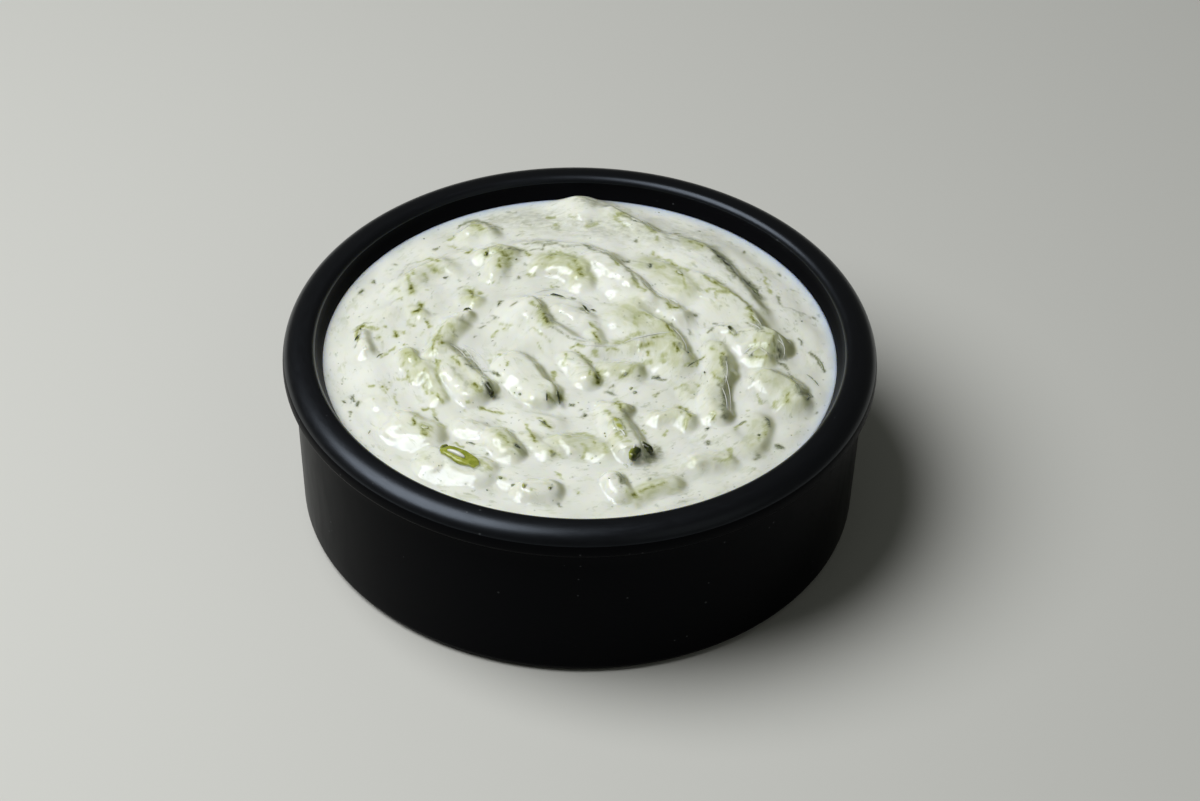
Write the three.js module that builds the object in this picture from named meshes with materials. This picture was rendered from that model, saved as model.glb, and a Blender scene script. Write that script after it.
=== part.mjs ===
// Tzatziki in a small round dish: the dish, and the dip that fills it nearly to the lip.
// Millimetres, +Z up, origin in the middle of the foot.
import * as THREE from "three";
import { mergeVertices } from "three/addons/utils/BufferGeometryUtils.js";

// Dish
const LIP_RADIUS = 50;
const DISH_HEIGHT = 32.5;
const CREST_RADIUS = 46.2;
const LIP_WIDEST_Z = 29.2;
const LIP_UNDERSIDE_Z = 27.9;
const LIP_FULLNESS = 0.9;
const LIP_EDGE_ROUND = 0.8;
const BODY_TOP_RADIUS = 48.2;
const BODY_FOOT_RADIUS = 47.1;
const FOOT_ROUND = 1.8;
const FOOT_RING_INNER = 39;
const FOOT_RECESS = 0.8;
const MOUTH_RADIUS = 44.5;
const MOUTH_ROUND = 1.4;
const FLOOR_THICKNESS = 4;
const INSIDE_FOOT_RADIUS = 42.9;
const INSIDE_ROUND = 5;
const DISH_SIDES = 76;

// Dip
const DIP_LEVEL = 28.8;
const WALL_AT_LEVEL = 43.3;
const CLEARANCE = 0.33;
const SURFACE_CELLS = 62;

// Relief of the dip
const SWELL = 0.9;
const SWELL_RADIUS = 37;
const SWELL_SOFTNESS = 1.5;
const EDGE_BAND = 3;
const SHARP_SHARE = 0.5;
const SHARP_BEND = 1.1;
const BROAD_BEND = 1.6;
const FULL_BEND = 5.0;
const SHARP_CROWN = 2.6;
const BROAD_CROWN = 1.5;
const FULL_CROWN = 1.0;
const CREST_ROUND = 0.4;
const MERGE = 2.4;
const SKIRT = 0.1;
const SKIRT_REACH = 1.6;
const RIPPLE = 0.13;
const RIPPLE_PITCH = 7.5;
const RIPPLE_START = 6;
const ROLL = 0.12;
const WARP = 0.2;
const FINE_WARP = 0.05;
const TOP_BELOW_LIP = 0.15;

// Crests that the spoon left in the dip, and shreds of cucumber under the yogurt. Each bows to its
// left, has a rise at each end, and slopes down over a reach on its left and right. How full its broad
// side is runs from 0, which falls away from the crest, to 1, which has a flat top and a steep foot.
const STROKES = [
  // the spoon's crests
  { from: [-5.5, 35.2], to: [5, 37.4], bow: 0.4, rise: [0.3, 0.8], reach: [2.3, 6], full: 0 },
  { from: [5.4, 37.4], to: [13.2, 31.2], bow: 0.4, rise: [1.8, 0.8], reach: [2.4, 5.4], full: 0 },
  { from: [12.6, 31.6], to: [21.4, 28.6], bow: 0.5, rise: [0.7, 0.9], reach: [2.2, 7], full: 0.05 },
  { from: [21.6, 27.4], to: [30.2, 12.6], bow: 0.6, rise: [1.3, 0.9], reach: [2.2, 9], full: 0 },
  { from: [20.4, 19.4], to: [30.4, 4.6], bow: 1.7, rise: [1.2, 1.4], reach: [2.2, 8], full: 0.05 },
  { from: [-20.5, 25.6], to: [-9, 25.6], bow: 0.6, rise: [0.5, 0.6], reach: [2, 5], full: 0 },
  { from: [-9.5, 27.8], to: [4.2, 25.2], bow: 1.3, rise: [0.9, 1.3], reach: [2.2, 6], full: 0 },
  { from: [3.4, 23.6], to: [11.4, 13.6], bow: 0.8, rise: [1.9, 1.7], reach: [2.2, 5.6], full: 0.3 },
  { from: [11.4, 13.6], to: [17, 9.6], bow: 0.4, rise: [1.2, 1.2], reach: [2.6, 4.4], full: 0.05 },
  { from: [-12, 11.6], to: [-1, 12], bow: 1.6, rise: [0.3, 0.7], reach: [1.4, 4], full: 0 },
  { from: [-5.8, 6.4], to: [2, 0.8], bow: -0.5, rise: [1.3, 0.8], reach: [2.2, 6], full: 0 },
  { from: [-2, -0.6], to: [9.6, 1], bow: -0.8, rise: [0.4, 0.9], reach: [1.9, 2.4], full: 0 },
  { from: [-23.6, 4.8], to: [-20.2, 7.6], bow: 0.3, rise: [0.4, 0.5], reach: [1.6, 2.4], full: 0 },
  { from: [-32.5, 10], to: [-27.5, 16], bow: 0.6, rise: [0.4, 0.5], reach: [2, 4], full: 0 },
  // lumps at the back
  { from: [-0.3, 40.6], to: [0.3, 40.5], bow: 0, rise: [2.6, 2.6], reach: [7.6, 7.8], full: 0 },
  { from: [-20.6, 31.8], to: [-17, 32.8], bow: 0.9, rise: [0.8, 1.2], reach: [2, 4.4], full: 0.05 },
  { from: [-30.4, 15.6], to: [-24.8, 22.2], bow: 1.6, rise: [0.9, 1.2], reach: [2.2, 5.2], full: 0 },
  { from: [-14, 24.8], to: [-14.6, 19], bow: 0, rise: [1.4, 0.8], reach: [2.6, 3.2], full: 0.3 },
  { from: [-17, 25.2], to: [-12.6, 25.2], bow: 0.2, rise: [1.2, 1.4], reach: [1.9, 3.2], full: 0.15 },
  { from: [-5.9, 23.4], to: [0.4, 18.9], bow: 1.8, rise: [1.3, 1.4], reach: [2.2, 4], full: 0.6 },
  { from: [12.2, 23.4], to: [18.4, 16.6], bow: 1.2, rise: [1, 1.1], reach: [2.6, 5], full: 0.1 },
  { from: [18.8, 29.4], to: [20.6, 28.7], bow: 0, rise: [0.9, 1], reach: [2, 3], full: 0 },
  { from: [-28.6, 9.6], to: [-27.4, 8.6], bow: 0, rise: [0.7, 0.8], reach: [1.9, 2.4], full: 0.05 },
  { from: [-19.2, 13.6], to: [-18, 12.2], bow: 0, rise: [0.7, 0.8], reach: [1.8, 2.4], full: 0.05 },
  { from: [-20.3, 8], to: [-19.1, 8.3], bow: 0, rise: [0.8, 1], reach: [1.5, 2], full: 0.05 },
  { from: [-37.3, 3.6], to: [-36.5, -1], bow: 0, rise: [1.2, 0.8], reach: [2.2, 1.8], full: 0.2 },
  // lumps in the middle
  { from: [-21.9, 6], to: [-23.8, -2], bow: -1, rise: [1.2, 1.7], reach: [3.4, 2.3], full: 0.15 },
  { from: [-22.2, -2.4], to: [-16.8, -11], bow: -0.5, rise: [1.5, 1.6], reach: [2.6, 4.2], full: 1 },
  { from: [-19, -4.8], to: [-15.3, -10.6], bow: 0, rise: [1.1, 1.7], reach: [1.7, 2.6], full: 0.2 },
  { from: [-28.8, -2.4], to: [-26.6, -7.4], bow: 0, rise: [1.2, 1.1], reach: [2, 2.4], full: 0.3 },
  { from: [-25.6, -5.2], to: [-23, -13.6], bow: 0, rise: [1.1, 0.8], reach: [1.8, 2.2], full: 0.2 },
  { from: [-8.3, 11], to: [-5.8, 6], bow: 0, rise: [2.4, 1.5], reach: [2.6, 6.5], full: 0.05 },
  { from: [-3.8, 10.2], to: [0.6, 9.2], bow: 0.3, rise: [0.9, 1.1], reach: [2.2, 4.4], full: 0.05 },
  { from: [-9.4, -4.2], to: [-5.4, -10.2], bow: 0, rise: [1.5, 1.8], reach: [2.4, 5.4], full: 1 },
  { from: [-1.4, -2.4], to: [1.8, -8], bow: 0.5, rise: [1.1, 1.7], reach: [1.6, 3], full: 0.35 },
  { from: [5, -5], to: [9.2, -5.2], bow: 0.4, rise: [0.7, 1.1], reach: [2.4, 3], full: 0.15 },
  { from: [9.8, 9.6], to: [17.2, -1.4], bow: 1.6, rise: [1.2, 1.4], reach: [2.3, 7.4], full: 0.1 },
  { from: [6, 0.4], to: [14.8, 1], bow: 0.8, rise: [0.5, 1.1], reach: [2.7, 3.4], full: 0.1 },
  { from: [2.3, 4.8], to: [3.4, 1.8], bow: 0, rise: [0.7, 0.7], reach: [1.6, 2], full: 0.1 },
  { from: [23.6, 0.6], to: [24.2, -6.6], bow: 0.3, rise: [0.9, 1.3], reach: [1.9, 3.4], full: 0.3 },
  { from: [24.6, -7.6], to: [23.8, -16.8], bow: -0.5, rise: [1.4, 1.7], reach: [2.1, 4.4], full: 0.5 },
  { from: [28, 4], to: [32.8, 3.2], bow: 0.3, rise: [1.1, 1.5], reach: [2, 4.6], full: 0.8 },
  { from: [32.4, 2.8], to: [31.4, -2], bow: 0, rise: [1.5, 1.1], reach: [2, 4.4], full: 0.15 },
  { from: [32, -6.6], to: [36.4, -12], bow: 1.3, rise: [1.4, 1.7], reach: [2.6, 5], full: 0.25 },
  { from: [22.2, 5.2], to: [25.8, 5.2], bow: 0.8, rise: [0.6, 1], reach: [1.7, 2.6], full: 0.05 },
  { from: [13.4, -17.2], to: [18, -17.8], bow: 1.2, rise: [0.9, 1.4], reach: [2, 3], full: 0.2 },
  { from: [4.4, -14.7], to: [7.6, -15.8], bow: 0.2, rise: [0.7, 1.6], reach: [1.9, 2.4], full: 0.15 },
  // lumps in front
  { from: [-28, -19.4], to: [-25.2, -20.6], bow: -0.3, rise: [1, 1], reach: [3, 5.2], full: 1 },
  { from: [-19.2, -20], to: [-16, -20.8], bow: 0, rise: [0.35, 0.4], reach: [1.8, 2.6], full: 0.6 },
  { from: [-22.8, -27.4], to: [-16.2, -29.4], bow: -0.6, rise: [1.1, 1], reach: [2.2, 5], full: 1 },
  { from: [-12.4, -22.6], to: [-10.4, -25.6], bow: 0, rise: [1.3, 1.4], reach: [1.9, 3.8], full: 0.6 },
  { from: [-7.8, -22.2], to: [-5, -26.4], bow: 0, rise: [0.6, 0.7], reach: [1.7, 2.6], full: 0.1 },
  { from: [-2.4, -23.6], to: [4.4, -25.4], bow: 0.5, rise: [1.1, 0.9], reach: [2.6, 4.2], full: 0.15 },
  { from: [6, -16.2], to: [9.4, -25.6], bow: -0.2, rise: [1.2, 2], reach: [2.5, 3.9], full: 0.6 },
  { from: [6, -33], to: [7.2, -35.8], bow: 0, rise: [1.3, 1.1], reach: [1.9, 2.5], full: 0.8 },
  { from: [8.8, -36.2], to: [15.6, -33.2], bow: 0.2, rise: [0.8, 1], reach: [2.2, 2.6], full: 0.1 },
  { from: [-8.4, -35.3], to: [-4.4, -35.3], bow: 0, rise: [1, 1.1], reach: [2, 2.8], full: 0.6 },
  { from: [30.6, -18.2], to: [29.8, -23.4], bow: 0.2, rise: [0.9, 0.8], reach: [1.9, 4.2], full: 0.1 },
  { from: [19.4, -28.4], to: [24.4, -27], bow: 0.3, rise: [0.6, 0.8], reach: [1.9, 2.4], full: 0.1 },
  { from: [-35, -13.8], to: [-32.4, -17.6], bow: 0, rise: [0.3, 0.3], reach: [2.4, 3.2], full: 0 },
  // low folds between them
  { from: [-12.5, -1.5], to: [-9, 1.5], bow: 0, rise: [0.4, 0.5], reach: [3, 4], full: 0.1 },
  { from: [17.5, -10.5], to: [20.5, -7.5], bow: 0.3, rise: [0.7, 0.7], reach: [2.3, 3.4], full: 0.1 },
  { from: [9.5, -9], to: [14.5, -12.5], bow: 0.4, rise: [0.5, 0.4], reach: [2.9, 3.6], full: 0.1 },
  { from: [22, -21], to: [26.5, -22.5], bow: 0.4, rise: [0.5, 0.5], reach: [2.9, 4], full: 0.1 },
  { from: [-9.5, -17.5], to: [-4.5, -19], bow: 0.3, rise: [0.5, 0.6], reach: [2.6, 4], full: 0.1 },
];

const radians = THREE.MathUtils.degToRad;

function material(color, roughness) {
  return new THREE.MeshStandardMaterial({ color, roughness, metalness: 0 });
}

// Points of an arc in a profile, round a middle (r, z), between two angles in degrees.
function arc(r, z, radius, start, end, steps) {
  const points = [];
  for (let i = 0; i <= steps; i++) {
    const angle = radians(start + ((end - start) * i) / steps);
    points.push(new THREE.Vector2(r + radius * Math.cos(angle), z + radius * Math.sin(angle)));
  }
  return points;
}

// The full outer shoulder of the lip, from its crest to its widest place.
function lipShoulder(steps) {
  const points = [];
  for (let i = 0; i <= steps; i++) {
    const angle = (Math.PI / 2) * (i / steps);
    points.push(new THREE.Vector2(
      CREST_RADIUS + (LIP_RADIUS - CREST_RADIUS) * Math.sin(angle) ** LIP_FULLNESS,
      LIP_WIDEST_Z + (DISH_HEIGHT - LIP_WIDEST_Z) * Math.cos(angle) ** LIP_FULLNESS,
    ));
  }
  return points;
}

function dishProfile() {
  const edgeZ = LIP_UNDERSIDE_Z + LIP_EDGE_ROUND;
  return [
    new THREE.Vector2(0, FOOT_RECESS),
    new THREE.Vector2(FOOT_RING_INNER - FOOT_RECESS, FOOT_RECESS),
    new THREE.Vector2(FOOT_RING_INNER, 0),
    ...arc(BODY_FOOT_RADIUS - FOOT_ROUND, FOOT_ROUND, FOOT_ROUND, -90, 0, 3),
    new THREE.Vector2(BODY_TOP_RADIUS, LIP_UNDERSIDE_Z),
    ...arc(LIP_RADIUS - LIP_EDGE_ROUND, edgeZ, LIP_EDGE_ROUND, -90, 0, 2),
    ...lipShoulder(6).reverse(),
    ...arc(MOUTH_RADIUS + MOUTH_ROUND, DISH_HEIGHT - MOUTH_ROUND, MOUTH_ROUND, 90, 180, 2),
    new THREE.Vector2(WALL_AT_LEVEL, DIP_LEVEL),
    ...arc(INSIDE_FOOT_RADIUS - INSIDE_ROUND, FLOOR_THICKNESS + INSIDE_ROUND, INSIDE_ROUND, 0, -90, 3),
    new THREE.Vector2(0, FLOOR_THICKNESS),
  ];
}

function makeDish() {
  const geometry = new THREE.LatheGeometry(dishProfile(), DISH_SIDES);
  geometry.rotateX(Math.PI / 2);
  const dish = new THREE.Mesh(geometry, material(0x0b0b0c, 0.38));
  dish.name = "dish";
  return dish;
}

// Moves a place a little to and fro, so that no lump has an even outline.
function warped(x, y) {
  const u = x + WARP * (Math.sin(0.47 * y + 0.21 * x + 1.1) + Math.sin(0.83 * y - 0.36 * x + 0.4) / 2);
  const v = y + WARP * (Math.sin(0.52 * x - 0.17 * y + 2.3) + Math.sin(0.79 * x + 0.43 * y + 3.7) / 2);
  return [
    u + FINE_WARP * Math.sin(2.1 * v - 1.2 * x + 0.7),
    v + FINE_WARP * Math.sin(2.3 * u + 0.9 * y + 1.9),
  ];
}

// Height of one stroke, a bent crest that slopes down on each side, and the share of its reach.
function strokeHeight({ from, to, bow, rise, reach: [left, right], full }, x, y) {
  const half = Math.hypot(to[0] - from[0], to[1] - from[1]) / 2;
  const ax = (to[0] - from[0]) / (2 * half);
  const ay = (to[1] - from[1]) / (2 * half);
  const dx = x - (from[0] + to[0]) / 2;
  const dy = y - (from[1] + to[1]) / 2;
  const share = THREE.MathUtils.clamp((dx * ax + dy * ay) / half, -1, 1);
  const beyond = dx * ax + dy * ay - share * half;
  const across = dy * ax - dx * ay - bow * (1 - share * share);
  const distance = Math.hypot(beyond, across) + 1e-6;
  const middle = (left + right) / 2;
  const span = middle + ((across / distance) * (left - right)) / 2;
  const height = rise[0] + ((rise[1] - rise[0]) * (share + 1)) / 2;
  const away = (Math.hypot(distance, CREST_ROUND) - CREST_ROUND) / span;
  const broad = THREE.MathUtils.clamp(span / middle - SHARP_SHARE, 0, 1);
  const bend = SHARP_BEND + (BROAD_BEND + (FULL_BEND - BROAD_BEND) * full - SHARP_BEND) * broad;
  const crown = SHARP_CROWN + (BROAD_CROWN + (FULL_CROWN - BROAD_CROWN) * full - SHARP_CROWN) * broad;
  return [height * Math.max(1 - away ** bend, 0) ** crown, away];
}

function reliefHeight(x, y) {
  const radius = Math.hypot(x, y);
  const [u, v] = warped(x, y);
  const swell = SWELL / (1 + Math.exp((radius - SWELL_RADIUS) / SWELL_SOFTNESS));
  const phase = (2 * Math.PI * Math.hypot(u, v)) / RIPPLE_PITCH + Math.atan2(y, x);
  const ripple = RIPPLE * Math.sin(phase) * Math.min(radius / RIPPLE_START, 1);
  const roll = ROLL * (Math.sin(0.61 * u + 0.38 * v + 0.6) + Math.sin(0.83 * v - 0.47 * u + 2.9));
  let powers = 0;
  let skirt = 0;
  for (const stroke of STROKES) {
    const [height, away] = strokeHeight(stroke, u, v);
    powers += height ** MERGE;
    skirt += SKIRT * Math.max(...stroke.rise) * Math.exp(-((away / SKIRT_REACH) ** 2));
  }
  const edge = THREE.MathUtils.clamp((WALL_AT_LEVEL - radius) / EDGE_BAND, 0, 1);
  const proud = powers ** (1 / MERGE) + skirt + ripple + roll;
  return Math.min(DIP_LEVEL + swell + proud * edge * (2 - edge), DISH_HEIGHT - TOP_BELOW_LIP);
}

// A square of cells squeezed into a disc, ring by ring: u and v run from -1 to 1.
function intoDisc(u, v) {
  const ring = Math.max(Math.abs(u), Math.abs(v));
  if (ring === 0) {
    return [0, 0];
  }
  const angle = Math.abs(u) >= Math.abs(v)
    ? (Math.PI / 4) * (v / u) + (u < 0 ? Math.PI : 0)
    : Math.PI / 2 - (Math.PI / 4) * (u / v) + (v < 0 ? Math.PI : 0);
  return [ring * Math.cos(angle), ring * Math.sin(angle)];
}

// Radius and height of the dip's side, from its floor up to its level.
function sideProfile() {
  const bottom = FLOOR_THICKNESS + CLEARANCE;
  const foot = INSIDE_FOOT_RADIUS - CLEARANCE;
  const round = arc(foot - INSIDE_ROUND, bottom + INSIDE_ROUND, INSIDE_ROUND, 0, -90, 2);
  return round.map((point) => [point.x, point.y]);
}

function dipGeometry() {
  const positions = [];
  const index = [];
  const rim = WALL_AT_LEVEL - CLEARANCE;
  const row = SURFACE_CELLS + 1;
  for (let j = 0; j < row; j++) {
    for (let i = 0; i < row; i++) {
      const [x, y] = intoDisc((2 * i) / SURFACE_CELLS - 1, (2 * j) / SURFACE_CELLS - 1);
      positions.push(x * rim, y * rim, reliefHeight(x * rim, y * rim));
    }
  }
  for (let j = 0; j < SURFACE_CELLS; j++) {
    for (let i = 0; i < SURFACE_CELLS; i++) {
      const a = j * row + i;
      index.push(a, a + 1, a + row + 1, a, a + row + 1, a + row);
    }
  }

  // The square's border, once round, is the dip's edge at the wall.
  let loop = [];
  for (let i = 0; i < SURFACE_CELLS; i++) loop.push(i);
  for (let j = 0; j < SURFACE_CELLS; j++) loop.push(j * row + SURFACE_CELLS);
  for (let i = SURFACE_CELLS; i > 0; i--) loop.push(SURFACE_CELLS * row + i);
  for (let j = SURFACE_CELLS; j > 0; j--) loop.push(j * row);
  for (const [radius, z] of sideProfile()) {
    const first = positions.length / 3;
    const ring = loop.map((_, k) => first + k);
    for (const vertex of loop) {
      const x = positions[3 * vertex];
      const y = positions[3 * vertex + 1];
      const shrink = radius / Math.hypot(x, y);
      positions.push(x * shrink, y * shrink, z);
    }
    joinRings(index, loop, ring);
    loop = ring;
  }
  const middle = positions.length / 3;
  positions.push(0, 0, FLOOR_THICKNESS + CLEARANCE);
  loop.forEach((vertex, k) => index.push(vertex, middle, loop[(k + 1) % loop.length]));

  const geometry = new THREE.BufferGeometry();
  geometry.setAttribute("position", new THREE.Float32BufferAttribute(positions, 3));
  geometry.setIndex(index);
  return mergeVertices(geometry);
}

function joinRings(index, upper, lower) {
  for (let k = 0; k < upper.length; k++) {
    const next = (k + 1) % upper.length;
    index.push(upper[k], lower[k], lower[next], upper[k], lower[next], upper[next]);
  }
}

function makeDip() {
  const geometry = dipGeometry();
  geometry.computeVertexNormals();
  const dip = new THREE.Mesh(geometry, material(0xe4e6da, 0.35));
  dip.name = "tzatziki";
  return dip;
}

const model = new THREE.Group();
model.add(makeDish(), makeDip());
export default model;
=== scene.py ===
import functools
import math
import random

import bmesh
import bpy
import numpy as np
from mathutils import Matrix, Vector


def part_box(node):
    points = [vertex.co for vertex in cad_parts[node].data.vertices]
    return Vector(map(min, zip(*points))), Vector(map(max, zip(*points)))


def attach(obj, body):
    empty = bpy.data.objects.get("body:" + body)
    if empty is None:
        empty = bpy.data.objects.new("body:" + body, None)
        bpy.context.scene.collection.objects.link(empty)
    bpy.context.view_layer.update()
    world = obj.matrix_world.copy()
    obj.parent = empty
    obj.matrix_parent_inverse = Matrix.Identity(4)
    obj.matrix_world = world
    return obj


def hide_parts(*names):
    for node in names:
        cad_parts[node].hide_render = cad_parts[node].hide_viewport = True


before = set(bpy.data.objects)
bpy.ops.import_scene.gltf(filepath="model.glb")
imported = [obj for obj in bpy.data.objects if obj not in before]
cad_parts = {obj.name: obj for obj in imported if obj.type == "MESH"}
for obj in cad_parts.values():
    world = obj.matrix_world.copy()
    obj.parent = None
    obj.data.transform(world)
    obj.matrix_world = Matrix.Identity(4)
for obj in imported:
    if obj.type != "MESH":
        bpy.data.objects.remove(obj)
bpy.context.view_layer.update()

# All sizes below are in millimetres; meshes are written in metres.
MM = 0.001
TINY = 1e-6

# ------------------------------------------------------------------ dish sizes, from the frame
dish_low, dish_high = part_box("dish")
LIP_RADIUS = dish_high.x / MM
DISH_HEIGHT = dish_high.z / MM
CREST_RADIUS = LIP_RADIUS - 3.8
LIP_WIDEST_Z = DISH_HEIGHT - 3.3
LIP_UNDERSIDE_Z = DISH_HEIGHT - 4.6
LIP_FULLNESS = 0.9
SHOULDER_STEPS = 24
LIP_EDGE_ROUND = 0.8
BODY_TOP_RADIUS = LIP_RADIUS - 1.8
BODY_FOOT_RADIUS = LIP_RADIUS - 2.9
COVE_ROUND = 0.5
FOOT_ROUND = 1.8
FOOT_RING_INNER = 39
FOOT_RECESS = 0.8
MOUTH_RADIUS = LIP_RADIUS - 5.5
MOUTH_ROUND = 1.4
FLOOR_THICKNESS = 4
INSIDE_FOOT_RADIUS = 42.9
INSIDE_ROUND = 5
DISH_STEPS = 192
BODY_SHINE = 0.02
LIP_SHINE = 0.42
LIP_SHINE_TILT = 0.35

# ------------------------------------------------------------------ dip sizes
DIP_LEVEL = DISH_HEIGHT - 3.7
WALL_AT_LEVEL = MOUTH_RADIUS - 1.2
SURFACE_CELLS = 300
SWELL = 0.9
SWELL_RADIUS = 37
SWELL_SOFTNESS = 1.5
EDGE_BAND = 3

# The cool tint at the wall, for a thin film of yogurt with a painted cool sheen: its band, its usual
# strength, the side where it is strongest, and its least.
RIM_BAND = 2.6
RIM_SHARE = 0.45
RIM_WAY = (0.5, 0.8)
RIM_LEAST = 0.1

# Painted shade, olive where cucumber shows through a thin coat, on the flanks that fall away from the
# light: the step and the way that their slope is taken over, the slope that counts as flat, and the margin
# that they keep at the wall.
FLANK_STEP = 0.8
FLANK_WAY = (0.94, 0.34)
FLANK_FLAT = 0.1
FLANK_MARGIN = 2

# How a stroke falls away from its crest, on its sharp side and on its broad one, and how it merges with
# its neighbours into one surface with a low skirt round it.
SHARP_SHARE = 0.5
SHARP_BEND = 1.1
BROAD_BEND = 1.6
FULL_BEND = 5.0
SHARP_CROWN = 2.6
BROAD_CROWN = 1.5
FULL_CROWN = 1.0
CREST_ROUND = 0.4
MERGE = 2.4
SKIRT = 0.1
SKIRT_REACH = 1.6

# The spoon's low ripples, the slow rolls of the surface, and the waver of its outlines.
RIPPLE = 0.13
RIPPLE_PITCH = 7.5
RIPPLE_START = 6
ROLL = 0.12
WARP = 0.2
FINE_WARP = 0.05
TOP_BELOW_LIP = 0.15
TINT_FADE = 1.6

# Waves: pace along x and y, start and weight.
WARP_X_WAVES = ((0.21, 0.47, 1.1, 1), (-0.36, 0.83, 0.4, 0.5))
WARP_Y_WAVES = ((0.52, -0.17, 2.3, 1), (0.79, 0.43, 3.7, 0.5))
FINE_X_WAVES = ((-1.2, 2.1, 0.7, 1),)
FINE_Y_WAVES = ((2.3, 0.9, 1.9, 1),)
ROLL_WAVES = ((0.61, 0.38, 0.6, 1), (-0.47, 0.83, 2.9, 1))

# The yogurt's fine texture: folds and threads in patches (size, how far drawn out) along the
# spoon's circles, and lumps of two sizes, whose heights are a start and a gain where it stands proud.
NOISE_CELLS = 48
NOISE_GAIN = 1.6
NOISE_SHIFT = 9
FOLD_SEED = 3
FOLD_PATCHES = (3.2, 2)
FOLD_HEIGHT = 0.045
LUMP_SEED = 4
LUMP_SIZE = 2.4
LUMP_SHIFT = 7
LUMP_HEIGHTS = (0.008, 0.016)
SMALL_SEED = 5
SMALL_SIZE = 1.1
SMALL_TURN = 0.4
SMALL_SHIFT = 3
SMALL_HEIGHTS = (0.005, 0.006)
THREAD_SEED = 6
THREAD_PATCHES = (1.6, 5)
THREAD_HEIGHT = 0.14
THREAD_SHARPNESS = 8
THREAD_LEAST = 0.2
PLACE_SEED = 7
PLACE_PATCHES = (6, 2)
PLACE_GAIN = 2
MOST_PROUD = 1.5

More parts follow.
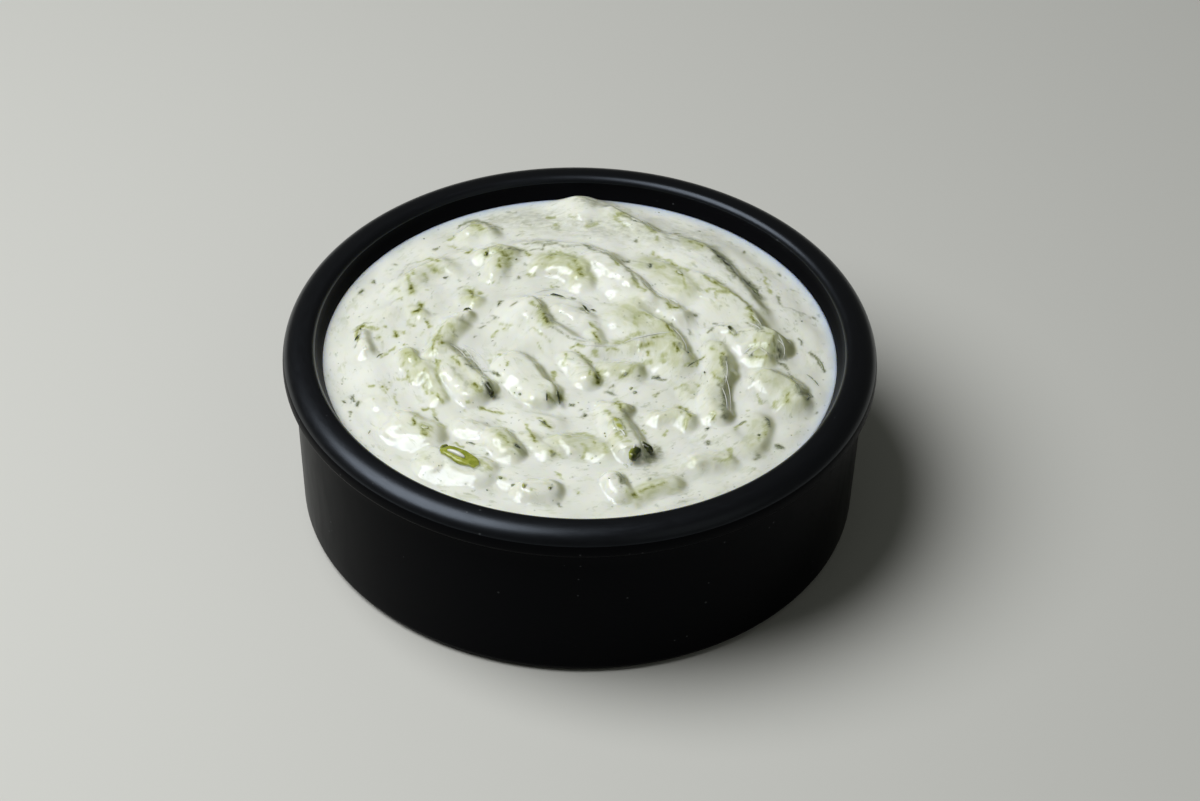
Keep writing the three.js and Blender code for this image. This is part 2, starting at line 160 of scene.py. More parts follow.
# Crests that the spoon left in the dip, and shreds of cucumber under the yogurt. Each runs from one
# end to the other, bows to its left, has a rise at each end, and slopes down over a reach on its left
# and right. Then comes how full its broad side is: 0 falls away from the crest, 1 has a flat top. The
# last value is how green it shows through.
STROKES = [
    # the spoon's crests
    ((-5.5, 35.2), (5.0, 37.4), 0.4, 0.3, 0.8, 2.3, 6.0, 0.0, 0.1),
    ((5.4, 37.4), (13.2, 31.2), 0.4, 1.8, 0.8, 2.4, 5.4, 0.0, 0.3),
    ((12.6, 31.6), (21.4, 28.6), 0.5, 0.7, 0.9, 2.2, 7.0, 0.05, 0.1),
    ((21.6, 27.4), (30.2, 12.6), 0.6, 1.3, 0.9, 2.2, 9.0, 0.0, 0.1),
    ((20.4, 19.4), (30.4, 4.6), 1.7, 1.2, 1.4, 2.2, 8.0, 0.05, 0.2),
    ((-20.5, 25.6), (-9.0, 25.6), 0.6, 0.5, 0.6, 2.0, 5.0, 0.0, 0.0),
    ((-9.5, 27.8), (4.2, 25.2), 1.3, 0.9, 1.3, 2.2, 6.0, 0.0, 0.1),
    ((3.4, 23.6), (11.4, 13.6), 0.8, 1.9, 1.7, 2.2, 5.6, 0.3, 0.2),
    ((11.4, 13.6), (17.0, 9.6), 0.4, 1.2, 1.2, 2.6, 4.4, 0.05, 0.2),
    ((-12.0, 11.6), (-1.0, 12.0), 1.6, 0.3, 0.7, 1.4, 4.0, 0.0, 0.0),
    ((-5.8, 6.4), (2.0, 0.8), -0.5, 1.3, 0.8, 2.2, 6.0, 0.0, 0.1),
    ((-2.0, -0.6), (9.6, 1.0), -0.8, 0.4, 0.9, 1.9, 2.4, 0.0, 0.2),
    ((-23.6, 4.8), (-20.2, 7.6), 0.3, 0.4, 0.5, 1.6, 2.4, 0.0, 0.1),
    ((-32.5, 10.0), (-27.5, 16.0), 0.6, 0.4, 0.5, 2.0, 4.0, 0.0, 0.0),
    # lumps at the back
    ((-0.3, 40.6), (0.3, 40.5), 0.0, 2.6, 2.6, 7.6, 7.8, 0.0, 0.1),
    ((-20.6, 31.8), (-17.0, 32.8), 0.9, 0.8, 1.2, 2.0, 4.4, 0.05, 0.3),
    ((-30.4, 15.6), (-24.8, 22.2), 1.6, 0.9, 1.2, 2.2, 5.2, 0.0, 0.4),
    ((-14.0, 24.8), (-14.6, 19.0), 0.0, 1.4, 0.8, 2.6, 3.2, 0.3, 0.3),
    ((-17.0, 25.2), (-12.6, 25.2), 0.2, 1.2, 1.4, 1.9, 3.2, 0.15, 0.5),
    ((-5.9, 23.4), (0.4, 18.9), 1.8, 1.3, 1.4, 2.2, 4.0, 0.6, 0.8),
    ((12.2, 23.4), (18.4, 16.6), 1.2, 1.0, 1.1, 2.6, 5.0, 0.1, 0.6),
    ((18.8, 29.4), (20.6, 28.7), 0.0, 0.9, 1.0, 2.0, 3.0, 0.0, 0.7),
    ((-28.6, 9.6), (-27.4, 8.6), 0.0, 0.7, 0.8, 1.9, 2.4, 0.05, 0.5),
    ((-19.2, 13.6), (-18.0, 12.2), 0.0, 0.7, 0.8, 1.8, 2.4, 0.05, 0.6),
    ((-20.3, 8.0), (-19.1, 8.3), 0.0, 0.8, 1.0, 1.5, 2.0, 0.05, 0.3),
    ((-37.3, 3.6), (-36.5, -1.0), 0.0, 1.2, 0.8, 2.2, 1.8, 0.2, 0.0),
    # lumps in the middle
    ((-21.9, 6.0), (-23.8, -2.0), -1.0, 1.2, 1.7, 3.4, 2.3, 0.15, 0.5),
    ((-22.2, -2.4), (-16.8, -11.0), -0.5, 1.5, 1.6, 2.6, 4.2, 1.0, 0.4),
    ((-19.0, -4.8), (-15.3, -10.6), 0.0, 1.1, 1.7, 1.7, 2.6, 0.2, 0.4),
    ((-28.8, -2.4), (-26.6, -7.4), 0.0, 1.2, 1.1, 2.0, 2.4, 0.3, 0.7),
    ((-25.6, -5.2), (-23.0, -13.6), 0.0, 1.1, 0.8, 1.8, 2.2, 0.2, 0.6),
    ((-8.3, 11.0), (-5.8, 6.0), 0.0, 2.4, 1.5, 2.6, 6.5, 0.05, 0.1),
    ((-3.8, 10.2), (0.6, 9.2), 0.3, 0.9, 1.1, 2.2, 4.4, 0.05, 0.0),
    ((-9.4, -4.2), (-5.4, -10.2), 0.0, 1.5, 1.8, 2.4, 5.4, 1.0, 0.2),
    ((-1.4, -2.4), (1.8, -8.0), 0.5, 1.1, 1.7, 1.6, 3.0, 0.35, 0.4),
    ((5.0, -5.0), (9.2, -5.2), 0.4, 0.7, 1.1, 2.4, 3.0, 0.15, 0.6),
    ((9.8, 9.6), (17.2, -1.4), 1.6, 1.2, 1.4, 2.3, 7.4, 0.1, 0.65),
    ((6.0, 0.4), (14.8, 1.0), 0.8, 0.5, 1.1, 2.7, 3.4, 0.1, 0.4),
    ((2.3, 4.8), (3.4, 1.8), 0.0, 0.7, 0.7, 1.6, 2.0, 0.1, 0.5),
    ((23.6, 0.6), (24.2, -6.6), 0.3, 0.9, 1.3, 1.9, 3.4, 0.3, 0.6),
    ((24.6, -7.6), (23.8, -16.8), -0.5, 1.4, 1.7, 2.1, 4.4, 0.5, 0.5),
    ((28.0, 4.0), (32.8, 3.2), 0.3, 1.1, 1.5, 2.0, 4.6, 0.8, 0.3),
    ((32.4, 2.8), (31.4, -2.0), 0.0, 1.5, 1.1, 2.0, 4.4, 0.15, 0.7),
    ((32.0, -6.6), (36.4, -12.0), 1.3, 1.4, 1.7, 2.6, 5.0, 0.25, 0.6),
    ((22.2, 5.2), (25.8, 5.2), 0.8, 0.6, 1.0, 1.7, 2.6, 0.05, 0.0),
    ((13.4, -17.2), (18.0, -17.8), 1.2, 0.9, 1.4, 2.0, 3.0, 0.2, 0.5),
    ((4.4, -14.7), (7.6, -15.8), 0.2, 0.7, 1.6, 1.9, 2.4, 0.15, 0.4),
    # lumps in front
    ((-28.0, -19.4), (-25.2, -20.6), -0.3, 1.0, 1.0, 3.0, 5.2, 1.0, 0.3),
    ((-19.2, -20.0), (-16.0, -20.8), 0.0, 0.35, 0.4, 1.8, 2.6, 0.6, 0.0),
    ((-22.8, -27.4), (-16.2, -29.4), -0.6, 1.1, 1.0, 2.2, 5.0, 1.0, 0.3),
    ((-12.4, -22.6), (-10.4, -25.6), 0.0, 1.3, 1.4, 1.9, 3.8, 0.6, 0.6),
    ((-7.8, -22.2), (-5.0, -26.4), 0.0, 0.6, 0.7, 1.7, 2.6, 0.1, 0.4),
    ((-2.4, -23.6), (4.4, -25.4), 0.5, 1.1, 0.9, 2.6, 4.2, 0.15, 0.6),
    ((6.0, -16.2), (9.4, -25.6), -0.2, 1.2, 2.0, 2.5, 3.9, 0.6, 0.3),
    ((6.0, -33.0), (7.2, -35.8), 0.0, 1.3, 1.1, 1.9, 2.5, 0.8, 0.0),
    ((8.8, -36.2), (15.6, -33.2), 0.2, 0.8, 1.0, 2.2, 2.6, 0.1, 0.6),
    ((-8.4, -35.3), (-4.4, -35.3), 0.0, 1.0, 1.1, 2.0, 2.8, 0.6, 0.2),
    ((30.6, -18.2), (29.8, -23.4), 0.2, 0.9, 0.8, 1.9, 4.2, 0.1, 0.5),
    ((19.4, -28.4), (24.4, -27.0), 0.3, 0.6, 0.8, 1.9, 2.4, 0.1, 0.4),
    ((-35.0, -13.8), (-32.4, -17.6), 0.0, 0.3, 0.3, 2.4, 3.2, 0.0, 0.1),
    # low folds between them
    ((-12.5, -1.5), (-9.0, 1.5), 0.0, 0.4, 0.5, 3.0, 4.0, 0.1, 0.0),
    ((17.5, -10.5), (20.5, -7.5), 0.3, 0.7, 0.7, 2.3, 3.4, 0.1, 0.3),
    ((9.5, -9.0), (14.5, -12.5), 0.4, 0.5, 0.4, 2.9, 3.6, 0.1, 0.1),
    ((22.0, -21.0), (26.5, -22.5), 0.4, 0.5, 0.5, 2.9, 4.0, 0.1, 0.1),
    ((-9.5, -17.5), (-4.5, -19.0), 0.3, 0.5, 0.6, 2.6, 4.0, 0.1, 0.1),
]

# Places from here on are given at lip height, and follow the line of sight down onto the dip, which
# takes a few steps from the dip's usual rise over its level.
SIGHT_SLOPE = 1.21
SIGHT_LEVEL = 30
FIRST_RISE = 1
SIGHT_STEPS = 6

# Small wet edges of the yogurt, which fall away on their right: both ends, bow, reach and rise.
WET_EDGES = [
    ((-20.9, 32.6), (-19.2, 30.8), 0.0, 0.7, 0.25), ((-16.4, 24.8), (-15.2, 19.6), -0.2, 1.1, 0.4),
    ((-5.4, 22.8), (-0.6, 19.4), -0.7, 1.1, 0.35), ((-28.8, 19.4), (-27.6, 17.6), 0.0, 0.6, 0.2),
    ((-37.4, 1.8), (-36.0, -1.4), 0.0, 0.8, 0.3), ((-3.6, 11.2), (-0.9, 8.6), -0.2, 0.7, 0.2),
    ((2.2, 24.4), (5.6, 20.4), -0.3, 1.1, 0.45), ((5.0, 21.4), (8.4, 17.4), 0.2, 1.0, 0.4),
    ((26.4, 2.4), (28.3, -3.0), -0.3, 1.0, 0.4), ((19.6, 15.4), (23.4, 13.6), 0.0, 0.6, 0.15),
    ((-23.0, -6.0), (-20.6, -11.2), -0.2, 1.0, 0.35), ((-20.6, -11.2), (-16.8, -13.2), -0.3, 0.9, 0.35),
    ((-15.4, -22.6), (-12.4, -27.4), -0.4, 1.1, 0.4), ((-8.6, -13.2), (-4.6, -14.6), -0.3, 1.0, 0.35),
    ((-32.6, -20.6), (-29.6, -24.2), -0.4, 0.9, 0.3), ((-26.8, -28.8), (-23.4, -31.6), -0.4, 0.9, 0.3),
    ((-9.6, -34.6), (-6.0, -38.0), -0.6, 0.8, 0.3), ((-18.8, -20.8), (-16.4, -22.4), -0.2, 0.7, 0.25),
    ((-1.6, -3.2), (-0.4, -8.2), 0.0, 0.8, 0.3), ((-3.4, -21.8), (-0.9, -27.0), 0.0, 0.8, 0.3),
    ((-34.8, -13.4), (-33.2, -16.4), 0.0, 0.7, 0.2), ((4.2, -16.6), (5.8, -20.2), 0.0, 0.8, 0.35),
    ((5.2, -21.4), (6.6, -26.6), -0.2, 0.9, 0.4), ((6.4, -26.0), (8.8, -29.2), 0.0, 0.8, 0.4),
    ((4.8, -31.4), (5.6, -36.6), -0.4, 0.8, 0.3), ((13.0, -16.4), (14.6, -18.2), 0.0, 0.7, 0.25),
    ((20.5, -2.6), (21.7, -8.2), 0.0, 0.8, 0.3), ((20.4, -12.4), (22.4, -17.2), 0.0, 0.8, 0.3),
    ((18.0, -26.6), (19.8, -28.8), 0.0, 0.7, 0.25),
]
WET_EDGE_BACK = 2.6
WET_EDGE_WARP = 0.35
WET_EDGE_WARP_PITCH = 1.5
WET_EDGE_SEEDS = (14, 15)
WET_EDGE_END = 1.25
WET_EDGE_FADE = 0.6

# ------------------------------------------------------------------ bits on the dip
# Leaves and shreds: how thick leaves are, how high yogurt films a shred, how square shreds are, then
# how they waver, taper and slope, and how their dark skin and the leaves' lift are spread.
BIT_THICKNESS = 0.09
FILM_HEIGHT = 0.3
BLOCK_SHARE = 0.35
SHRED_CUTS = 5
SHRED_SEED = 11
SHRED_GRAIN = (2.5, 1.5)
SHRED_SLOPE = 0.1
SHRED_TAPER = 0.35
SHRED_WAVER = 0.25
SHRED_CROWN = 0.2
SHRED_LUMPS = 0.2
SKIN_MIDDLE = 1.05
SKIN_SIDE = 0.6
LEAF_SEED = 9
LEAF_PITCH = 0.5
LEAF_POINT = 0.6
LEAF_END = 0.02
LEAF_RISE = 0.45
LEAF_SINK = 0.7
LEAF_SWING = 0.5

# Bare shreds of cucumber: place, length, width, thickness, heading, bend, how far it stands out,
# and how much dark skin it has.
BARE_SHREDS = [
    ((-19.2, -28.3), 8.0, 3.0, 1.6, -31, 0.4, 0.5, 0.15),
    ((-22.0, -26.1), 2.6, 0.6, 1.0, 60, 0.3, 0.5, 0.35),
    ((-16.3, 26.2), 1.7, 0.7, 0.8, 75, 0.1, 0.1, 0.5),
    ((6.9, -19.5), 5.0, 1.7, 1.2, -66, -0.2, 0.2, 0.05),
    ((9.3, -25.2), 4.4, 2.0, 1.7, 74, 0.0, 0.34, 0.62),
    ((10.6, -24.1), 3.9, 1.0, 1.3, -33, 0.1, 0.32, 0.95),
    ((-15.5, -9.0), 4.0, 0.8, 1.2, -60, 0.1, 0.15, 1.0),
    ((-14.9, -10.8), 2.4, 1.1, 1.0, -62, 0.1, 0.12, 0.9),
    ((-37.7, 3.6), 3.8, 0.6, 0.9, 80, -0.5, 0.15, 0.7),
    ((-19.7, 9.9), 2.2, 0.55, 0.9, 72, 0.0, 0.24, 0.8),
    ((-18.8, 10.1), 1.8, 0.55, 0.9, -55, 0.0, 0.2, 0.8),
    ((-3.8, 14.0), 3.2, 0.7, 0.8, -24, 0.2, 0.22, 0.9),
    ((0.6, 11.0), 2.6, 0.5, 0.7, -62, 0.2, 0.22, 0.9),
    ((2.1, 10.5), 1.2, 0.7, 0.7, -30, 0.1, 0.22, 0.9),
    ((-3.8, -11.2), 5.2, 0.4, 0.7, -76, 0.2, 0.12, 0.9),
    ((-5.5, -11.6), 2.6, 0.35, 0.6, -84, 0.1, 0.12, 0.8),
    ((25.6, 5.9), 2.8, 0.8, 0.7, -62, 0.1, 0.15, 0.7),
    ((30.7, 0.7), 2.6, 0.4, 0.6, -42, 0.2, 0.12, 0.9),
    ((20.9, -6.0), 2.0, 0.45, 0.6, -80, 0.2, 0.12, 0.8),
    ((-25.2, -20.7), 1.6, 1.1, 0.8, -50, 0.0, 0.08, 0.3),
    ((-8.5, -34.4), 1.6, 0.9, 0.7, 75, 0.1, 0.08, 0.5),
    ((-4.3, -34.8), 1.5, 0.9, 0.7, 60, 0.1, 0.08, 0.55),
    ((7.8, -29.4), 1.5, 0.7, 0.6, -52, 0.1, 0.1, 0.8),
    ((16.9, 21.2), 1.6, 0.6, 0.6, -52, 0.1, 0.05, 0.2),
]

# Strands of yogurt drawn out over the hollows: both ends, bow, width and lift.
STRANDS = [
    ((9.3, 19.8), (12.0, 15.5), 0.4, 0.16, 0.0), ((10.0, 20.4), (13.0, 16.0), 0.3, 0.14, 0.0),
    ((11.6, 17.6), (15.4, 12.6), 0.5, 0.2, 0.0), ((15.2, 14.0), (16.6, 12.8), 0.2, 0.3, 0.0),
    ((-22.0, 1.0), (-18.5, -4.0), 0.5, 0.18, 0.0), ((-21.0, 1.4), (-17.6, -4.6), 0.7, 0.14, 0.0),
    ((-20.0, 1.0), (-15.0, -7.0), 1.2, 0.16, 0.0), ((-19.0, -2.0), (-15.8, -7.6), 0.5, 0.14, 0.0),
    ((-18.4, -5.2), (-14.2, -6.2), 0.4, 0.14, 0.0), ((-8.0, 15.0), (-3.0, 16.0), 0.6, 0.16, 0.0),
    ((-7.0, 16.4), (-0.6, 14.6), 0.7, 0.14, 0.0), ((-1.5, 14.4), (2.0, 11.5), 0.4, 0.16, 0.0),
    ((-12.0, 12.5), (-9.5, 13.5), 0.2, 0.14, 0.0), ((15.0, 7.0), (18.0, 0.0), 0.6, 0.18, 0.0),
    ((28.5, 8.0), (30.4, 6.2), 0.2, 0.18, 0.0), ((28.9, 10.2), (30.6, 7.0), 0.3, 0.16, 0.0),
    ((33.0, 3.8), (34.5, 1.0), 0.3, 0.16, 0.0), ((33.2, 5.0), (34.2, -1.4), 0.6, 0.14, 0.0),
    ((24.4, -2.0), (24.2, -8.0), 0.3, 0.2, 0.0), ((24.0, -5.0), (25.0, -16.0), 0.5, 0.18, 0.0),
    ((23.6, -9.0), (24.4, -14.6), 0.3, 0.16, 0.0), ((27.4, -0.4), (29.2, 2.0), 0.1, 0.24, 0.0),
    ((28.4, -0.6), (30.0, 1.4), 0.1, 0.2, 0.0), ((7.2, 2.0), (15.2, 5.2), 0.5, 0.3, 0.0),
    ((-0.4, 1.8), (7.0, 1.6), -0.6, 0.26, 0.0), ((-21.4, -27.0), (-18.4, -28.8), 0.2, 0.8, 0.6),
    ((6.8, -20.4), (7.6, -22.0), 0.1, 0.3, 0.1), ((9.1, -24.0), (8.9, -25.4), 0.1, 0.3, 0.25),
]

# Threads of dill: place, length, width, heading and bend.
DILL = [
    ((12.3, -6.9), 1.1, 0.3, 62, 0.1), ((13.4, -7.2), 1.9, 0.3, -24, 0.2),
    ((39.0, -6.8), 3.6, 0.26, -56, 0.2), ((40.4, -2.6), 4.2, 0.24, -72, 0.3),
    ((38.3, -10.8), 1.4, 0.22, -50, 0.2), ((38.2, -11.5), 1.3, 0.2, 45, 0.2),
    ((19.3, -2.8), 3.6, 0.24, 42, 0.2), ((-6.0, -19.0), 1.8, 0.26, -42, 0.2),
    ((31.1, -17.6), 2.2, 0.22, -68, 0.3), ((27.0, -18.2), 1.8, 0.2, 42, 0.2),
    ((33.0, -24.3), 1.2, 0.34, -40, 0.1), ((21.3, -23.4), 0.8, 0.3, -50, 0.1),
    ((-37.6, 14.7), 1.1, 0.26, 65, 0.1), ((-13.9, 12.1), 1.1, 0.22, 68, 0.1),
    ((-23.6, -18.5), 1.4, 0.18, -55, 0.1), ((-37.8, -13.8), 1.6, 0.2, -70, 0.3),
    ((-36.7, -15.1), 1.3, 0.22, 72, 0.1), ((-33.6, -2.4), 1.6, 0.2, 48, 0.2),
    ((24.4, 25.2), 2.4, 0.34, -54, 0.2), ((29.8, 16.6), 2.6, 0.34, -64, 0.2),
    ((1.3, 28.0), 1.9, 0.26, -38, 0.1), ((37.2, 3.4), 1.8, 0.18, -70, 0.2),
    ((-14.0, -6.6), 1.8, 0.2, -32, 0.1), ((5.1, -11.2), 1.0, 0.24, -30, 0.2),
    ((-17.6, -24.5), 1.1, 0.26, -18, 0.1), ((36.3, -9.0), 2.2, 0.26, -76, 0.2),
]

# Soft smears in the yogurt, each along a line: x and y of both ends, or of a spot, then reach to each
# side and strength. The first kind is green, from cucumber just under the surface; the second is grey,
# from herbs and skin, and painted shade and shadows in creases, on shaded flanks, beside the wedge of
# cucumber and over the back of the dip.
GREEN_SMEARS = [
    (-18.9, 34.2, -17.6, 32.8, 1.1, 0.5), (-14.8, 26.8, -12.4, 26.3, 1.1, 0.56),
    (-13.4, 26.2, -12.7, 24.6, 1.2, 0.56), (-14.1, 24.6, -14.2, 22.2, 0.5, 0.65),
    (-12.6, 24.4, -13, 22.8, 1.1, 0.45), (-16.2, 26.9, -16.6, 25.2, 0.42, 0.8),
    (-9.6, 26.6, -9.1, 25.6, 0.4, 0.65), (-5.6, 25.2, -4.4, 26.3, 0.8, 0.55),
    (-4.2, 26.3, -1.4, 25.1, 0.75, 0.5), (-1.4, 25, -0.4, 21.8, 0.85, 0.65),
    (-0.4, 21.8, -0.1, 20.3, 0.6, 0.7), (-2.6, 23.5, -1, 21.2, 0.6, 0.4),
    (-29, 16.6, -28.9, 14.6, 0.4, 0.8), (-29.8, 19.5, -29.3, 17.2, 0.3, 0.5),
    (-29.1, 20.8, -28.9, 19.6, 0.3, 0.55), (-26, 21.9, -24.7, 20.5, 0.85, 0.5),
    (-26.9, 19.8, -26.8, 17.8, 0.5, 0.45), (-24.9, 23.6, 0.35, 0.8), (-28.3, 23.3, -26.6, 24.3, 0.25, 0.5),
    (-26.6, 24.3, -24.9, 23.6, 0.25, 0.6), (-31.8, 16, -31.2, 15, 0.3, 0.5),
    (-23.2, 29.5, -22.2, 30.4, 0.3, 0.55), (-23.3, 27.8, -22.2, 27.5, 0.4, 0.4),
    (-19.9, 25.8, -19.2, 26.9, 0.35, 0.6), (-4.6, 34.4, -4.6, 34.2, 0.5, 0.6), (1, 34, 2.2, 34.6, 0.6, 0.5),
    (5.8, 37, 7.1, 37.7, 0.85, 0.6), (5.8, 36.2, 7.4, 34.4, 0.6, 0.4), (-6, 36.5, -5, 36.4, 0.4, 0.5),
    (-2.3, 37, -1.2, 36.2, 0.4, 0.4), (-9.2, 20.2, -8, 20.3, 0.5, 0.35), (-8.9, 19.6, 0.25, 0.5),
    (-15.8, 17.2, -15, 18, 0.25, 0.45), (-5.2, 17.2, -4.7, 16.6, 0.25, 0.6),
    (-19, 15.6, -18.3, 13.8, 0.55, 0.85), (-17.5, 15, -17.4, 14.5, 0.3, 0.8), (-26.4, 15.4, 0.25, 0.4),
    (5.4, 24.6, 6.2, 23.3, 0.35, 0.6), (8.9, 19.9, 9.4, 17.9, 0.42, 0.6), (9.4, 17.9, 10.8, 16.1, 0.4, 0.5),
    (12.2, 27.6, 12.4, 26.4, 0.35, 0.4), (13, 25.6, 15.4, 24.6, 0.4, 0.4),
    (15.4, 24.2, 16.2, 23.3, 0.35, 0.55), (17, 22.8, 18.2, 22.2, 0.4, 0.5),
    (12.8, 22.8, 14.4, 23, 0.6, 0.4), (16.5, 21.6, 17.3, 20.7, 0.4, 0.75),
    (17.4, 20.2, 17.9, 17.2, 0.45, 0.45), (11.3, 34.4, 12.6, 32.7, 0.5, 0.55),
    (12.9, 31.6, 13, 30.5, 0.45, 0.4), (18.8, 30.2, 20, 29.6, 0.5, 0.55),
    (20.2, 29.6, 20.9, 28.9, 0.35, 0.7), (23.6, 26, 24.6, 25.2, 0.5, 0.7),
    (21, 20.8, 22.3, 19.5, 0.35, 0.6), (22.3, 19.5, 23.6, 18.2, 0.5, 0.7),
    (23.6, 18.2, 26, 16.1, 0.35, 0.65), (21.4, 16.6, 23, 17.2, 0.5, 0.4),
    (23.6, 16.5, 25.2, 16.3, 0.8, 0.5), (22.8, 15.9, 23, 14.4, 0.4, 0.35), (26, 16, 28.4, 13, 0.22, 0.6),
    (28.7, 12.4, 28.9, 10, 0.45, 0.7), (28.9, 10, 29.6, 8, 0.45, 0.7), (30.3, 23.1, 31.4, 22, 0.3, 0.35),
    (31.6, 20.4, 32.2, 17, 0.3, 0.4), (32.3, 16.8, 32.6, 16, 0.3, 0.5), (25.1, 6.6, 26.1, 4.9, 0.4, 0.8),
    (29.4, 3.6, 29.5, 2.2, 0.25, 0.6), (28.4, 1, 30, 2.8, 1, 0.3), (30, 0.8, 31.8, 2.4, 0.9, 0.35),
    (32.6, 4.6, 32.6, 0.4, 0.4, 0.6), (31.4, 5.4, 32.2, 5.2, 0.4, 0.45),
    (-36.8, 5.4, -37.9, 4.4, 0.35, 0.8), (-37.9, 4.4, -37.4, 1.8, 0.3, 0.8),
    (-36, 5.2, -34.6, 4.8, 0.5, 0.5), (-34.2, 2.4, 0.4, 0.6), (-33, 5.5, -33, 5.2, 0.22, 0.7),
    (-31.2, 4, -31, 2.8, 0.35, 0.8), (-29.8, 4.1, -29.9, 3.7, 0.55, 0.35),
    (-30.7, 13, -31.4, 12.4, 0.35, 0.4), (-27.3, 11.6, -27.4, 9.7, 0.45, 0.8),
    (-27.6, 9.7, -28.4, 9.3, 0.35, 0.85), (-29.2, 7, -29, 6, 0.5, 0.3), (-26.1, 6.9, -25.6, 5.6, 0.3, 0.65),
    (-28.4, 5.7, 0.2, 0.8), (-26.6, 4, -27, 3.2, 0.4, 0.25), (-29.6, 0.6, -29.6, 0.4, 0.35, 0.5),
    (-31, 0, -33.6, -2.8, 0.33, 0.4), (-33.6, -2.2, -33.4, -2.9, 0.45, 0.4), (-31, -1.8, 0.2, 0.5),
    (-28.7, -1.6, -27.6, -3.2, 0.9, 0.55), (-29.3, -4, -29.6, -5, 0.35, 0.4),
    (-26.6, -3.4, -27.6, -5, 0.5, 0.35), (-28.8, -6.2, -28.7, -8, 0.35, 0.55),
    (-25.9, -5.2, -25.7, -9, 0.3, 0.45), (-25.9, -9.6, -25.3, -12, 0.3, 0.55),
    (-23.2, 5.8, -24.6, 2, 0.25, 0.6), (-24.6, 2, -24.8, -0.8, 0.25, 0.65),
    (-24.8, -0.8, -24, -4, 0.25, 0.55), (-24, 2.8, -23.3, 1.2, 0.55, 0.6), (-22, 6, -21.4, 3.4, 0.8, 0.38),
    (-23.6, -3.2, -23.9, -5.5, 0.4, 0.5), (-23.9, -5.5, -23.3, -9.6, 0.42, 0.45),
    (-21.2, -2.4, -20, -4.4, 0.33, 0.7), (-20.3, -2, -18.9, -1.6, 0.5, 0.5),
    (-12.9, 5.4, -12.9, 5.3, 0.4, 0.5), (-14.2, 4.6, -14.8, 3.2, 0.35, 0.45),
    (-13.4, 6.6, -11.8, 6.2, 0.6, 0.3), (-13.4, -1.5, 0.3, 0.5), (-12, -3.5, -12.1, -4.2, 0.25, 0.6),
    (-15.3, -3, -15.2, -4, 0.25, 0.3), (-8.3, 12.5, 0.3, 0.75), (-8.2, 12.4, -6.6, 10.2, 0.25, 0.6),
    (-6.4, 9.6, -5.7, 7.4, 0.7, 0.95), (-7.8, 5.6, -5, 2, 0.4, 0.3), (-7.2, 1.6, -6.8, 0.4, 0.25, 0.4),
    (1.7, 7.4, 2.8, 5.4, 0.3, 0.55), (2.3, 4.8, 3.1, 2.2, 0.35, 0.65), (-1.6, 0.6, -0.4, 1.3, 0.35, 0.5),
    (-0.4, 1.3, 0.8, 1, 0.4, 0.45), (-0.8, 0, 0.1, -1.1, 0.22, 0.55), (0.1, -1.1, 1.7, -3, 0.25, 0.6),
    (-2.4, -1, -2.4, -2.2, 0.3, 0.6), (-2.7, -2.8, -2.8, -4.2, 0.5, 0.45), (0.6, -1.8, 1.3, -3, 0.5, 0.5),
    (1.6, -5, 1.7, -6.2, 0.35, 0.6), (2.5, -0.2, 2.6, -1.5, 0.5, 0.5), (-4.3, -6, -4.5, -8, 0.5, 0.45),
    (2.8, -6, 3.2, -8.2, 0.65, 0.9), (14.9, 13.2, 15.3, 11.9, 0.5, 0.7),
    (15.4, 11.9, 16.8, 11.9, 0.45, 0.7), (9.3, 9.8, 9.3, 7.6, 0.65, 0.42), (9.6, 10.2, 12, 9.8, 0.8, 0.42),
    (12, 9.4, 12.6, 7.6, 0.7, 0.38), (13.6, 8.6, 14.6, 7.4, 0.4, 0.55), (14.6, 7.2, 15.3, 5.2, 0.4, 0.75),
    (15.3, 5.2, 16.2, 3.6, 0.35, 0.6), (8.2, 4, 10.2, 4.9, 0.75, 0.42), (6.4, 2, 8, 2.7, 0.7, 0.5),
    (4.7, 0.4, 4.7, 0.2, 0.25, 0.75), (5, 0.6, 5.9, 0.5, 0.38, 0.6), (10.2, 1.2, 12, 2.2, 0.8, 0.5),
    (11.4, 0, 11.5, -0.8, 0.4, 0.55), (12.2, 3.6, 14.4, 4.4, 0.38, 0.6), (15.9, 2, 16.4, 0.4, 0.65, 0.78),
    (14.2, -1, 13.8, -2.4, 1, 0.38), (12, -2.8, 9.4, -3.6, 1, 0.33), (9, -4.2, 8.2, -5.2, 0.8, 0.45),
    (7.7, -5.8, 7.6, -6.4, 0.4, 0.85), (7.6, -6, 7, -7, 0.8, 0.45), (20.9, -1.1, 19.4, -2.8, 0.25, 0.65),
    (19.5, -2.6, 18.6, -4, 0.22, 0.5), (20, -2.4, 19.5, -3.7, 0.28, 0.5),
    (18.4, -2.8, 17.5, -3.8, 0.28, 0.55), (22, 1, 23, 0.6, 0.3, 0.5), (23.7, 2.5, 23.7, 2.2, 0.22, 0.5),
    (23.9, -0.4, 24, -3.6, 0.5, 0.7), (22.4, -5.4, 23.6, -7.6, 0.5, 0.5),
    (-35, -10.4, -34.3, -10.3, 0.28, 0.5), (-32.7, -10.5, 0.3, 0.75), (-31.9, -11, 0.25, 0.7),
    (-32.6, -11.3, -32.3, -12.2, 0.25, 0.5), (-34, -13.6, -33.8, -14.4, 0.2, 0.4),
    (-30.4, -8.4, -27.5, -9, 0.5, 0.3), (-30.9, -13, -30, -15, 0.2, 0.4), (-30.1, -17.5, 0.25, 0.4),
    (-28, -16.1, 0.2, 0.4), (-24.7, -11.4, -24.5, -12, 0.35, 0.5), (-23.6, -12, -22.6, -14.2, 0.32, 0.6),
    (-26, -16.2, -25, -15.9, 0.33, 0.55), (-24.2, -16.2, -23.8, -17.4, 0.33, 0.5),
    (-24, -18, -23.3, -19, 0.22, 0.7), (-26.7, -17.2, -27.1, -18.6, 0.2, 0.6),
